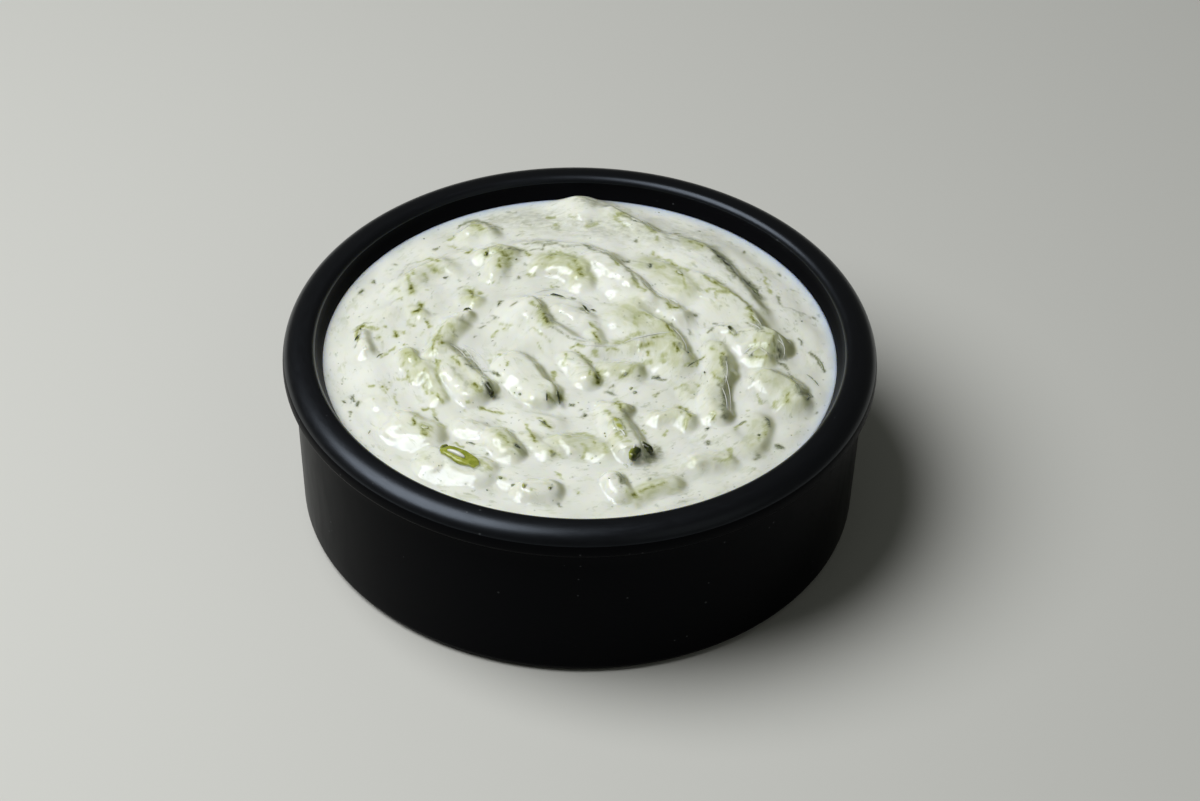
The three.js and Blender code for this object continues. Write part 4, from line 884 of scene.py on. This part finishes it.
def dots(tree, pitch, reach, share):
    """Small dots in a share of the cells of a pitch in mm, each of about a reach in cells."""
    cells = add(tree, "ShaderNodeTexVoronoi", Scale=1 / (pitch * MM))
    tree.links.new(own_place(tree), cells.inputs["Vector"])
    bent = noise_node(tree, 2 / (pitch * MM), 2)
    size = math_node(tree, "MULTIPLY_ADD", bent, -reach, cells.outputs["Distance"])
    inside = band(tree, math_node(tree, "MULTIPLY", size, -1.0), -reach / 2, -reach / 4)
    chosen = add(tree, "ShaderNodeSeparateColor")
    tree.links.new(cells.outputs["Color"], chosen.inputs["Color"])
    return math_node(tree, "MULTIPLY", inside, math_node(tree, "LESS_THAN", chosen.outputs["Red"], share))


# ------------------------------------------------------------------ materials
def glaze_material(name, shine):
    """Black glaze with a few pale specks; shine is how strongly it mirrors."""
    material, tree, shader = new_material(
        name, Specular_IOR_Level=shine, Specular_Tint=(0.74, 0.85, 1.0, 1.0))
    dust = math_node(tree, "MULTIPLY", dots(tree, *GLAZE_DOTS), DUST_SHARE)
    tree.links.new(mix_colours(tree, dust, GLAZE, GLAZE_DUST), shader.inputs["Base Color"])
    make_wet(tree, shader, size=0.5, depth=0.003)
    worn = math_node(tree, "MULTIPLY_ADD", swirls(tree, *WORN_PATCHES), *GLAZE_ROUGHNESS)
    tree.links.new(worn, shader.inputs["Roughness"])
    return material


def clay_material():
    material, tree, shader = new_material("bare_clay", Roughness=0.8)
    colour = mix_colours(tree, noise_node(tree, scale=900, detail=4), *CLAY_TINTS)
    tree.links.new(colour, shader.inputs["Base Color"])
    make_wet(tree, shader, size=0.6, depth=0.04)
    return material


def yogurt_material():
    """Yogurt: milky patches, faint green, then the masks and smears that its mesh carries, with painted flank
    shade, a painted sheen at the wall and painted shade in the grey smears.
    """
    material, tree, shader = new_material(
        "yogurt", Specular_IOR_Level=0.55, Specular_Tint=(0.86, 0.92, 1.0, 1.0),
        Subsurface_Weight=1.0, Subsurface_Radius=(1.0, 0.9, 0.6), Subsurface_Scale=1.3 * MM)
    masks = attribute_parts(tree, "masks")
    smears = attribute_parts(tree, "smears")
    colour = lay_over(tree, YOGURT, swirls(tree, *MILK_PATCHES), *MILK)
    shared = swirls(tree, *SHARED_PATCHES)
    soft = swirls(tree, *SOFT_PATCHES)
    streaks = swirls(tree, *STREAK_PATCHES)
    for value, (own_band, shared_band, tint) in ((soft, SOFT_GREEN), (streaks, STREAK_GREEN)):
        faint = math_node(tree, "MULTIPLY", band(tree, value, *own_band), band(tree, shared, *shared_band))
        colour = mix_colours(tree, math_node(tree, "MULTIPLY", faint, FAINT_SHARE), colour, tint)

    # Painted shade: olive tint on the flanks that fall away from the key light.
    flank_shade = math_node(tree, "MULTIPLY", band(tree, masks["Green"], *FLANK_SHADE_BAND), FLANK_SHADE_SHARE)
    colour = mix_colours(tree, flank_shade, colour, FLANK_SHADE_TINT)
    lump = math_node(tree, "MULTIPLY", masks["Red"], math_node(tree, "MULTIPLY", soft, LUMP_GAIN))
    colour = lay_over(tree, colour, lump, *LUMP_GREEN)
    # The grey smears lay painted shade and shadows as well as herbs and skin.
    broken = math_node(tree, "MULTIPLY_ADD", swirls(tree, *BROKEN_PATCHES), *BROKEN_RANGE)
    for part, layers in (("Red", GREEN_LAYERS), ("Green", GREY_AND_SHADE_LAYERS)):
        strength = math_node(tree, "MULTIPLY", smears[part], broken)
        for layer in layers:
            colour = lay_over(tree, colour, strength, *layer)

    spots = math_node(tree, "MULTIPLY", dots(tree, *YOGURT_DOTS), DOT_SHARE)
    colour = mix_colours(tree, spots, colour, DOT_TINT)
    # Painted cool sheen at the wall, on the film of yogurt there.
    colour = mix_colours(tree, masks["Blue"], colour, RIM_SHEEN_TINT)
    tree.links.new(colour, shader.inputs["Base Color"])
    spread = make_wet(tree, shader, size=1.1, depth=0.014)
    roughness = math_node(tree, "MULTIPLY_ADD", spread, *YOGURT_ROUGHNESS)
    tree.links.new(roughness, shader.inputs["Roughness"])
    return material


def strand_material():
    material, tree, shader = new_material("yogurt_strand", Roughness=0.2)
    colour = mix_colours(tree, swirls(tree, *STRAND_PATCHES), *STRAND_TINTS)
    tree.links.new(colour, shader.inputs["Base Color"])
    make_wet(tree, shader, size=0.6, depth=0.02)
    return material


def cucumber_material():
    """Wet flesh, with dark skin and a film of yogurt where the mesh's masks say."""
    material, tree, shader = new_material(
        "cucumber", Roughness=0.14, Subsurface_Weight=0.4,
        Subsurface_Radius=(0.8, 0.9, 0.3), Subsurface_Scale=0.6 * MM)
    masks = attribute_parts(tree, "skin")
    cloud = noise_node(tree, scale=1100, detail=3)
    flesh = lay_over(tree, FLESH, cloud, *FLESH_DARK)
    skin = lay_over(tree, SKIN, cloud, *SKIN_PALE)
    edge = math_node(tree, "MULTIPLY_ADD", cloud, SKIN_GRAIN, masks["Red"])
    colour = lay_over(tree, flesh, edge, *SKIN_BAND, skin)
    film = math_node(tree, "MULTIPLY_ADD", cloud, FILM_GRAIN, masks["Green"])
    colour = lay_over(tree, colour, film, *SHRED_FILM)
    tree.links.new(colour, shader.inputs["Base Color"])
    make_wet(tree, shader, size=0.5, depth=0.04)
    return material


def herb_material():
    """Dill and herbs under a broken veil of yogurt."""
    material, tree, shader = new_material("dill", Roughness=0.35)
    colour = lay_over(tree, DILL_TINT, noise_node(tree, scale=260, detail=3), *DILL_PALE)
    veil = band(tree, noise_node(tree, scale=450, detail=2), *VEIL_BAND)
    colour = mix_colours(tree, math_node(tree, "MULTIPLY", veil, VEIL_SHARE), colour, VEIL_TINT)
    tree.links.new(colour, shader.inputs["Base Color"])
    make_wet(tree, shader, size=0.3, depth=0.03)
    return material


# ------------------------------------------------------------------ dish
def inside_corner(steps):
    """The round between the dish's wall and its floor, from the wall down."""
    return arc(INSIDE_FOOT_RADIUS - INSIDE_ROUND, FLOOR_THICKNESS + INSIDE_ROUND, INSIDE_ROUND, 0, -90, steps)


def dish_profile():
    """The dish's section from the middle of its underside, over the lip, to the middle of its floor."""
    cove = (BODY_TOP_RADIUS + COVE_ROUND, LIP_UNDERSIDE_Z - COVE_ROUND)
    foot = arc(BODY_FOOT_RADIUS - FOOT_ROUND, FOOT_ROUND, FOOT_ROUND, -90, 0, 8)
    shoulder = []
    for i in range(SHOULDER_STEPS + 1):
        angle = math.pi / 2 * i / SHOULDER_STEPS
        shoulder.append((
            CREST_RADIUS + (LIP_RADIUS - CREST_RADIUS) * math.sin(angle) ** LIP_FULLNESS,
            LIP_WIDEST_Z + (DISH_HEIGHT - LIP_WIDEST_Z) * math.cos(angle) ** LIP_FULLNESS,
        ))
    mouth = arc(MOUTH_RADIUS + MOUTH_ROUND, DISH_HEIGHT - MOUTH_ROUND, MOUTH_ROUND, 90, 180, 10)
    level = (WALL_AT_LEVEL, DIP_LEVEL)
    inside = inside_corner(8)
    outside = foot + straight(foot[-1], (BODY_TOP_RADIUS, cove[1]), 8)
    lip = arc(*cove, COVE_ROUND, 180, 90, 4)
    lip += arc(LIP_RADIUS - LIP_EDGE_ROUND, LIP_UNDERSIDE_Z + LIP_EDGE_ROUND, LIP_EDGE_ROUND, -90, 0, 6)
    ring = [(0, FOOT_RECESS), (FOOT_RING_INNER - FOOT_RECESS, FOOT_RECESS), (FOOT_RING_INNER, 0)]
    wall = straight(mouth[-1], level, 3) + [level] + straight(level, inside[0], 6)
    return ring + outside + lip + shoulder[::-1] + mouth + wall + inside + [(0, FLOOR_THICKNESS)]


def make_dish():
    bm = bmesh.new()
    points = [bm.verts.new((r, 0, z)) for r, z in dish_profile()]
    edges = [bm.edges.new(pair) for pair in zip(points, points[1:])]
    bmesh.ops.spin(bm, geom=points + edges, cent=(0, 0, 0), axis=(0, 0, 1),
                   angle=math.tau, steps=DISH_STEPS, use_merge=True)
    bmesh.ops.remove_doubles(bm, verts=bm.verts, dist=0.001)
    bmesh.ops.recalc_face_normals(bm, faces=bm.faces)
    body, clay, lip = range(3)
    for face in bm.faces:
        middle = face.calc_center_median()
        face.material_index = clay if middle.z < FOOT_RECESS / 4 else body
        on_lip = middle.z > LIP_UNDERSIDE_Z and math.hypot(middle.x, middle.y) > MOUTH_RADIUS
        if on_lip and face.normal.z > LIP_SHINE_TILT:
            face.material_index = lip
    materials = [
        glaze_material("black_glaze", BODY_SHINE),
        clay_material(),
        glaze_material("black_glaze_lip", LIP_SHINE),
    ]
    dish = finish_mesh("dish_glazed", bm, materials)
    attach(dish, "root")
    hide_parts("dish")


# ------------------------------------------------------------------ relief of the dip
@functools.cache
def noise_arrows(seed):
    arrows = np.random.default_rng(seed).normal(size=(NOISE_CELLS, NOISE_CELLS, NOISE_CELLS, 3))
    return arrows / np.linalg.norm(arrows, axis=-1, keepdims=True)


def noise(seed, *axes):
    """Smooth random values from about -1 to 1, one grid cell of noise to each unit of the axes."""
    arrows = noise_arrows(seed)
    axes = list(axes) + [np.zeros_like(axes[0])] * (3 - len(axes))
    cells = [np.floor(axis).astype(int) for axis in axes]
    parts = [axis - cell for axis, cell in zip(axes, cells)]
    fades = [part * part * part * (part * (part * 6 - 15) + 10) for part in parts]
    total = np.zeros_like(axes[0])
    for corner in np.ndindex(2, 2, 2):
        weight = 1
        pull = 0
        arrow = arrows[tuple((cell + step) % NOISE_CELLS for cell, step in zip(cells, corner))]
        for axis in range(3):
            weight = weight * (fades[axis] if corner[axis] else 1 - fades[axis])
            pull = pull + arrow[..., axis] * (parts[axis] - corner[axis])
        total = total + weight * pull
    return total * NOISE_GAIN


def swirled_noise(seed, x, y, size, stretch):
    """Noise in patches of a size, drawn out along the spoon's circles."""
    return noise(seed, x / size / stretch + NOISE_SHIFT, y / size / stretch, np.hypot(x, y) / size)


def waves(x, y, rows):
    """A sum of sine waves: each row has its pace along x and y, its start and its weight."""
    return sum(weight * np.sin(pace_x * x + pace_y * y + start) for pace_x, pace_y, start, weight in rows)


def warped(x, y):
    """Moves places a little to and fro, so that no lump has an even outline."""
    u = x + WARP * waves(x, y, WARP_X_WAVES)
    v = y + WARP * waves(x, y, WARP_Y_WAVES)
    return u + FINE_WARP * waves(x, v, FINE_X_WAVES), v + FINE_WARP * waves(u, y, FINE_Y_WAVES)


def stroke_height(x, y, start, end, bow, rise_start, rise_end, left, right, full):
    """Height of one stroke: a bent crest that slopes down on each side, and the share of its reach."""
    half, share, across = beside(x, y, start, end)
    beyond = half * share
    share = np.clip(share, -1, 1)
    beyond = beyond - half * share
    across = across - bow * (1 - share * share)
    distance = np.hypot(beyond, across) + TINY
    middle = (left + right) / 2
    reach = middle + across / distance * (left - right) / 2
    rise = rise_start + (rise_end - rise_start) * (share + 1) / 2
    away = (np.hypot(distance, CREST_ROUND) - CREST_ROUND) / reach
    broad = np.clip(reach / middle - SHARP_SHARE, 0, 1)
    bend = SHARP_BEND + (BROAD_BEND + (FULL_BEND - BROAD_BEND) * full - SHARP_BEND) * broad
    crown = SHARP_CROWN + (BROAD_CROWN + (FULL_CROWN - BROAD_CROWN) * full - SHARP_CROWN) * broad
    return rise * np.maximum(1 - away ** bend, 0) ** crown, away


def edge_fade(radius):
    """0 at the wall, 1 from the edge band inwards."""
    return np.clip((WALL_AT_LEVEL - radius) / EDGE_BAND, 0, 1)


def relief(x, y):
    """Heights of the dip at places x, y, how much stands proud, and how green it shows."""
    radius = np.hypot(x, y)
    u, v = warped(x, y)
    swell = SWELL / (1 + np.exp((radius - SWELL_RADIUS) / SWELL_SOFTNESS))
    phase = math.tau * np.hypot(u, v) / RIPPLE_PITCH + np.arctan2(y, x)
    ripple = RIPPLE * np.sin(phase) * np.minimum(radius / RIPPLE_START, 1)
    powers = np.zeros_like(x)
    skirt = np.zeros_like(x)
    green = np.zeros_like(x)
    for *shape, tint in STROKES:
        one, away = stroke_height(u, v, *shape)
        powers = powers + one ** MERGE
        skirt = skirt + SKIRT * max(shape[3:5]) * np.exp(-(away / SKIRT_REACH) ** 2)
        green = np.maximum(green, tint * np.clip(TINT_FADE * (1 - away), 0, 1))
    proud = powers ** (1 / MERGE) + skirt
    edge = edge_fade(radius)
    height = DIP_LEVEL + swell + (proud + ripple + ROLL * waves(u, v, ROLL_WAVES)) * edge * (2 - edge)
    return np.minimum(height, DISH_HEIGHT - TOP_BELOW_LIP), proud, green


def wet_edges(x, y):
    """Height of the wet edges: each rises gently from its left and falls away on its right."""
    first, second = WET_EDGE_SEEDS
    x = x + WET_EDGE_WARP * noise(first, x / WET_EDGE_WARP_PITCH, y / WET_EDGE_WARP_PITCH)
    y = y + WET_EDGE_WARP * noise(second, x / WET_EDGE_WARP_PITCH, y / WET_EDGE_WARP_PITCH)
    total = np.zeros_like(x)
    for start, end, bow, reach, rise in WET_EDGES:
        _, share, across = beside(x, y, start, end)
        across = (across - bow * (1 - share * share)) / reach
        far = np.exp(-(np.maximum(across, 0) / WET_EDGE_BACK) ** 2)
        ends = eased((WET_EDGE_END - np.abs(share)) / WET_EDGE_FADE)
        total = np.maximum(total, rise * eased(1 + across) * far * ends)
    return total


def surface(x, y):
    """The dip's surface with its fine texture, and how green it shows."""
    height, proud, green = relief(x, y)
    height = height + wet_edges(x, y + SIGHT_SLOPE * (height - SIGHT_LEVEL))
    proud = np.minimum(proud, MOST_PROUD)
    lumps = noise(LUMP_SEED, (x + y) / LUMP_SIZE, (y - x) / LUMP_SIZE + LUMP_SHIFT)
    small_x, small_y = (x - SMALL_TURN * y) / SMALL_SIZE, (y + SMALL_TURN * x) / SMALL_SIZE
    small = noise(SMALL_SEED, small_x, small_y + SMALL_SHIFT)
    threads = 1 - np.abs(swirled_noise(THREAD_SEED, x, y, *THREAD_PATCHES))
    places = np.clip(PLACE_GAIN * swirled_noise(PLACE_SEED, x, y, *PLACE_PATCHES), 0, 1)
    fine = FOLD_HEIGHT * swirled_noise(FOLD_SEED, x, y, *FOLD_PATCHES)
    fine = fine + (LUMP_HEIGHTS[0] + LUMP_HEIGHTS[1] * proud) * lumps
    fine = fine + (SMALL_HEIGHTS[0] + SMALL_HEIGHTS[1] * proud) * small
    fine = fine + THREAD_HEIGHT * threads ** THREAD_SHARPNESS * places * np.minimum(THREAD_LEAST + proud, 1)
    return np.minimum(height + fine * edge_fade(np.hypot(x, y)), DISH_HEIGHT - TOP_BELOW_LIP), green


def into_disc(u, v):
    """Squeezes a square of cells into a disc, ring by ring: u and v run from -1 to 1."""
    ring = np.maximum(np.abs(u), np.abs(v))
    flat = np.abs(u) >= np.abs(v)
    with np.errstate(divide="ignore", invalid="ignore"):
        low = math.pi / 4 * np.where(u == 0, 0, v / u) + np.where(u < 0, math.pi, 0)
        high = math.pi / 2 - math.pi / 4 * np.where(v == 0, 0, u / v) + np.where(v < 0, math.pi, 0)
    angle = np.where(flat, low, high)
    return ring * np.cos(angle), ring * np.sin(angle)


def smear_mask(x, y, smears):
    """Strength of the smears at places, which fade out from their lines."""
    mask = np.zeros_like(x)
    for *ends, reach, strength in smears:
        (start_x, start_y), (end_x, end_y) = ends[:2], ends[-2:]
        dx, dy = end_x - start_x, end_y - start_y
        share = np.clip(((x - start_x) * dx + (y - start_y) * dy) / (dx * dx + dy * dy + TINY), 0, 1)
        away = np.hypot(x - start_x - share * dx, y - start_y - share * dy) / reach
        halo = HALO * np.exp(-(away / HALO_REACH) ** 2)
        mask = np.maximum(mask, strength * np.maximum(np.exp(-away * away), halo))
    return mask


def flank_shade_mask(x, y):
    """Painted shade: how steeply the dip falls to the right of the light, where lumps show their green side
    in shade.
    """
    step_x, step_y = FLANK_STEP * FLANK_WAY[0], FLANK_STEP * FLANK_WAY[1]
    ahead = relief(x + step_x, y + step_y)[0]
    behind = relief(x - step_x, y - step_y)[0]
    flank_shade = np.clip((behind - ahead) / (2 * FLANK_STEP) - FLANK_FLAT, 0, 1)
    return flank_shade * np.clip((WALL_AT_LEVEL - np.hypot(x, y)) / FLANK_MARGIN - 1, 0, 1)


def rim_sheen_mask(x, y):
    """The thin cool edge of the dip at the wall, a film of yogurt with a painted sheen, strongest at the back
    right.
    """
    radius = np.hypot(x, y) + TINY
    back_right = np.clip(RIM_SHARE + (RIM_WAY[0] * x + RIM_WAY[1] * y) / radius, RIM_LEAST, 1)
    return np.clip((radius - WALL_AT_LEVEL + RIM_BAND) / RIM_BAND, 0, 1) ** 2 * back_right


def make_dip():
    bm = bmesh.new()
    bmesh.ops.create_grid(bm, x_segments=SURFACE_CELLS, y_segments=SURFACE_CELLS, size=1)
    flat = np.array([vert.co for vert in bm.verts])
    x, y = into_disc(flat[:, 0], flat[:, 1])
    x, y = x * WALL_AT_LEVEL, y * WALL_AT_LEVEL
    z, tint = surface(x, y)
    shifts = [SMEAR_WARP * noise(seed, x / SMEAR_WARP_PITCH, y / SMEAR_WARP_PITCH) for seed in SMEAR_SEEDS]
    seen_x, seen_y = x + shifts[0], y + SIGHT_SLOPE * (z - SIGHT_LEVEL) + shifts[1]
    green = smear_mask(seen_x, seen_y, GREEN_SMEARS)
    # Grey smears: herbs and skin, with painted shade and shadows.
    grey_and_shade = smear_mask(seen_x, seen_y, GREY_SMEARS_AND_SHADE)
    masks = bm.verts.layers.float_color.new("masks")
    smears = bm.verts.layers.float_color.new("smears")
    # The masks carry the lumps' green, the painted flank shade and the painted sheen at the wall.
    rows = zip(bm.verts, x, y, z, tint, flank_shade_mask(x, y), rim_sheen_mask(x, y), green, grey_and_shade)
    for vert, px, py, pz, lump, flank_shade, rim_sheen, green_smear, grey_smear_and_shade in rows:
        vert.co = (px, py, pz)
        vert[masks] = (lump, flank_shade, rim_sheen, 1)
        vert[smears] = (green_smear, grey_smear_and_shade, 0, 1)
    loop = [edge for edge in bm.edges if edge.is_boundary]
    for radius, height in inside_corner(4):
        grown = bmesh.ops.extrude_edge_only(bm, edges=loop)["geom"]
        loop = [item for item in grown if isinstance(item, bmesh.types.BMEdge)]
        for vert in (item for item in grown if isinstance(item, bmesh.types.BMVert)):
            shrink = radius / math.hypot(vert.co.x, vert.co.y)
            vert.co = (vert.co.x * shrink, vert.co.y * shrink, height)
    grown = bmesh.ops.extrude_edge_only(bm, edges=loop)["geom"]
    middle = [item for item in grown if isinstance(item, bmesh.types.BMVert)]
    bmesh.ops.pointmerge(bm, verts=middle, merge_co=(0, 0, FLOOR_THICKNESS))
    bmesh.ops.recalc_face_normals(bm, faces=bm.faces)
    dip = finish_mesh("yogurt", bm, [yogurt_material()])
    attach(dip, "root")
    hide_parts("tzatziki")


# ------------------------------------------------------------------ bits on the dip
def onto_dip(x, y):
    """Follows the line of sight from a place at lip height down onto the dip."""
    true_y = y - SIGHT_SLOPE * (DIP_LEVEL + FIRST_RISE - SIGHT_LEVEL)
    for _ in range(SIGHT_STEPS):
        height = surface(x, true_y)[0]
        true_y = (true_y + y - SIGHT_SLOPE * (height - SIGHT_LEVEL)) / 2
    return true_y, height


def add_shred(bm, layer, place, length, width, thickness, heading, bend, proud, skin):
    """A shred of cucumber: a block rounded over, tapered and bent, sunk to where it stands proud."""
    before = len(bm.verts)
    made = bmesh.ops.create_cube(bm, size=2)["verts"]
    edges = list({edge for vert in made for edge in vert.link_edges})
    bmesh.ops.subdivide_edges(bm, edges=edges, cuts=SHRED_CUTS, use_grid_fill=True)
    verts = list(bm.verts)[before:]
    x, y = np.array([place[0]]), np.array([place[1]])
    y, z = onto_dip(x, y)
    shapes = np.array([vert.co for vert in verts])
    far = np.abs(shapes).max(axis=1)
    ball = shapes / (np.linalg.norm(shapes, axis=1)[:, None] + TINY) * far[:, None]
    a, b, c = (BLOCK_SHARE * shapes + (1 - BLOCK_SHARE) * ball).T
    rough = noise(int(abs(place[0] * 10)) + SHRED_SEED, a * SHRED_GRAIN[0], b * SHRED_GRAIN[1], c)
    along = a * length / 2
    taper = 1 - SHRED_TAPER * a ** 2
    across = b * width / 2 * taper * (1 + SHRED_WAVER * rough) + bend * (1 - a ** 2)
    up = c * thickness / 2 * (1 - SHRED_CROWN + SHRED_CROWN * taper) * (1 + SHRED_LUMPS * rough)
    dark = np.clip(skin * (SKIN_MIDDLE - SKIN_SIDE * b), 0, 1)
    px, py = turned(x[0], y[0], along, across, heading)
    pz = z[0] + up + proud - thickness / 2 - SHRED_SLOPE * along
    film = np.clip(1 - (pz - surface(px, py)[0]) / FILM_HEIGHT, 0, 1)
    for vert, *where, d, f in zip(verts, px, py, pz, dark, film):
        vert.co = where
        vert[layer] = (d, f, 0, 1)


def make_shreds():
    bm = bmesh.new()
    layer = bm.verts.layers.float_color.new("skin")
    for row in BARE_SHREDS:
        add_shred(bm, layer, *row)
    bmesh.ops.recalc_face_normals(bm, faces=bm.faces)
    finish_bits("cucumber_shreds", bm, cucumber_material())


def make_strands():
    """Round strands, pointed at both ends, half sunk into the surface that they follow."""
    bm = bmesh.new()
    for start, end, bow, width, lift in STRANDS:
        made = bmesh.ops.create_grid(bm, x_segments=16, y_segments=6, size=1)["verts"]
        shapes = np.array([vert.co for vert in made])
        share, turn = shapes[:, 0], shapes[:, 1] * math.pi
        taper = np.sqrt(1 - share * share) * width / 2
        dx, dy = end[0] - start[0], end[1] - start[1]
        chord = math.hypot(dx, dy)
        bent = bow * (1 - share * share)
        x = (start[0] + end[0] + dx * share) / 2 - dy / chord * bent
        y = (start[1] + end[1] + dy * share) / 2 + dx / chord * bent
        y, z = onto_dip(x, y)
        side = taper * np.sin(turn)
        x, y, z = x - dy / chord * side, y + dx / chord * side, z + lift + taper * np.cos(turn)
        for vert, *place in zip(made, x, y, z):
            vert.co = place
    bmesh.ops.remove_doubles(bm, verts=bm.verts, dist=0.0005)
    bmesh.ops.recalc_face_normals(bm, faces=bm.faces)
    finish_bits("yogurt_strands", bm, strand_material())


def swirl_heading(draw, x, y):
    """A heading along the spoon's circles, give or take."""
    return math.degrees(math.atan2(y, x)) - 90 + draw.gauss(0, HEADING_SPREAD)


def scattered_place(draw):
    radius = (WALL_AT_LEVEL - SCATTER_MARGIN) * math.sqrt(draw.random())
    angle = draw.uniform(0, math.tau)
    return radius * math.cos(angle), radius * math.sin(angle)


def add_leaf(bm, place, length, width, heading, bend, sunk):
    """A thin bent thread of dill, tapered at both ends, that follows the surface below it."""
    made = bmesh.ops.create_grid(bm, x_segments=8, y_segments=2, size=1)["verts"]
    a, b, _ = np.array([vert.co for vert in made]).T
    taper = np.maximum(1 - a ** 2, LEAF_END) ** LEAF_POINT
    across = b * width / 2 * taper + bend * (1 - a ** 2)
    x, y = turned(*place, a * length / 2, across, heading)
    y, z = onto_dip(x, y)
    uneven = noise(LEAF_SEED, x / LEAF_PITCH, y / LEAF_PITCH)
    lift = BIT_THICKNESS * (LEAF_RISE + LEAF_SWING * uneven - sunk * (LEAF_SINK + LEAF_SWING * a))
    for vert, px, py, pz in zip(made, x, y, z + lift):
        vert.co = (px, py, pz)


def make_dill():
    draw = random.Random(DILL_SEED)
    bm = bmesh.new()
    for place, length, width, heading, bend in DILL:
        add_leaf(bm, place, length, width, heading, bend, draw.uniform(*DILL_DEPTHS))
    for _ in range(SCATTERED_DILL):
        place = scattered_place(draw)
        length = draw.uniform(*SCATTERED_LENGTHS)
        width = draw.uniform(*SCATTERED_WIDTHS)
        heading = swirl_heading(draw, *place)
        bend = draw.uniform(*SCATTERED_BENDS)
        add_leaf(bm, place, length, width, heading, bend, draw.uniform(*SCATTERED_DEPTHS))
    bmesh.ops.recalc_face_normals(bm, faces=bm.faces)
    bmesh.ops.solidify(bm, geom=bm.faces, thickness=BIT_THICKNESS)
    bmesh.ops.recalc_face_normals(bm, faces=bm.faces)
    finish_bits("dill_threads", bm, herb_material())


def make_specks():
    """Rough flat specks: the ones with their own place, then scattered ones."""
    draw = random.Random(SPECK_SEED)
    places = [(x, y, draw.uniform(*SPECK_SIZES)) for x, y in SPECKS]
    for _ in range(SCATTERED_SPECKS):
        place = scattered_place(draw)
        places.append((*place, SMALLEST_SPECK + SPECK_SPREAD * draw.random() ** 2))
    x, y, sizes = np.array(places).T
    y, z = onto_dip(x, y)
    bm = bmesh.new()
    for px, py, pz, size in zip(x, y, z, sizes):
        made = bmesh.ops.create_icosphere(bm, subdivisions=1, radius=1)["verts"]
        heading = swirl_heading(draw, px, py)
        long, flat = draw.uniform(*SPECK_LENGTHS), draw.uniform(*SPECK_HEIGHTS)
        for vert in made:
            rough = draw.uniform(*SPECK_ROUGHNESS) * size
            a, b, c = vert.co * rough
            vert.co = (*turned(px, py, a * long, b, heading), pz + c * flat - SPECK_SUNK * size)
    finish_bits("herb_specks", bm, herb_material())


# ------------------------------------------------------------------ stage
def make_stage():
    bm = bmesh.new()
    bmesh.ops.create_grid(bm, x_segments=1, y_segments=1, size=FLOOR_HALF)
    material, _, _ = new_material("floor", Base_Color=FLOOR_TINT, Roughness=0.7)
    floor = finish_mesh("floor", bm, [material], smooth=False)


def area_light(name, direction, distance, size, power, colour):
    data = bpy.data.lights.new(name, "AREA")
    data.shape = "DISK"
    data.size = size * MM
    data.energy = power
    data.color = colour
    light = bpy.data.objects.new(name, data)
    away = Vector(direction).normalized()
    light.location = away * distance * MM
    light.rotation_euler = away.to_track_quat("Z", "Y").to_euler()
    bpy.context.scene.collection.objects.link(light)


def make_lights():
    area_light("key", *KEY_LIGHT)
    area_light("fill", *FILL_LIGHT)
    world = bpy.data.worlds.new("soft")
    world.use_nodes = True
    background = world.node_tree.nodes["Background"]
    background.inputs["Color"].default_value = SOFT_TINT
    background.inputs["Strength"].default_value = SOFT_LIGHT
    bpy.context.scene.world = world


def make_camera():
    azimuth, elevation, roll = (math.radians(v) for v in (VIEW_AZIMUTH, VIEW_ELEVATION, VIEW_ROLL))
    back = Vector((
        math.sin(azimuth) * math.cos(elevation),
        -math.cos(azimuth) * math.cos(elevation),
        math.sin(elevation),
    ))
    right = Vector((math.cos(azimuth), math.sin(azimuth), 0))
    up = back.cross(right)
    turned_right = math.cos(roll) * right + math.sin(roll) * up
    turned_up = math.cos(roll) * up - math.sin(roll) * right
    data = bpy.data.cameras.new("camera")
    data.lens = LENS
    data.sensor_width = SENSOR_WIDTH
    data.clip_start = NEAR_CLIP * MM
    camera = bpy.data.objects.new("camera", data)
    place = (Vector(VIEW_AIM) + back * VIEW_DISTANCE) * MM
    axes = Matrix((turned_right, turned_up, back)).transposed().to_4x4()
    camera.matrix_world = Matrix.Translation(place) @ axes
    bpy.context.scene.collection.objects.link(camera)
    bpy.context.scene.camera = camera


make_camera()
make_lights()
make_stage()
make_dish()
make_dip()
make_shreds()
make_strands()
make_dill()
make_specks()
bpy.context.scene.view_settings.view_transform = "Standard"
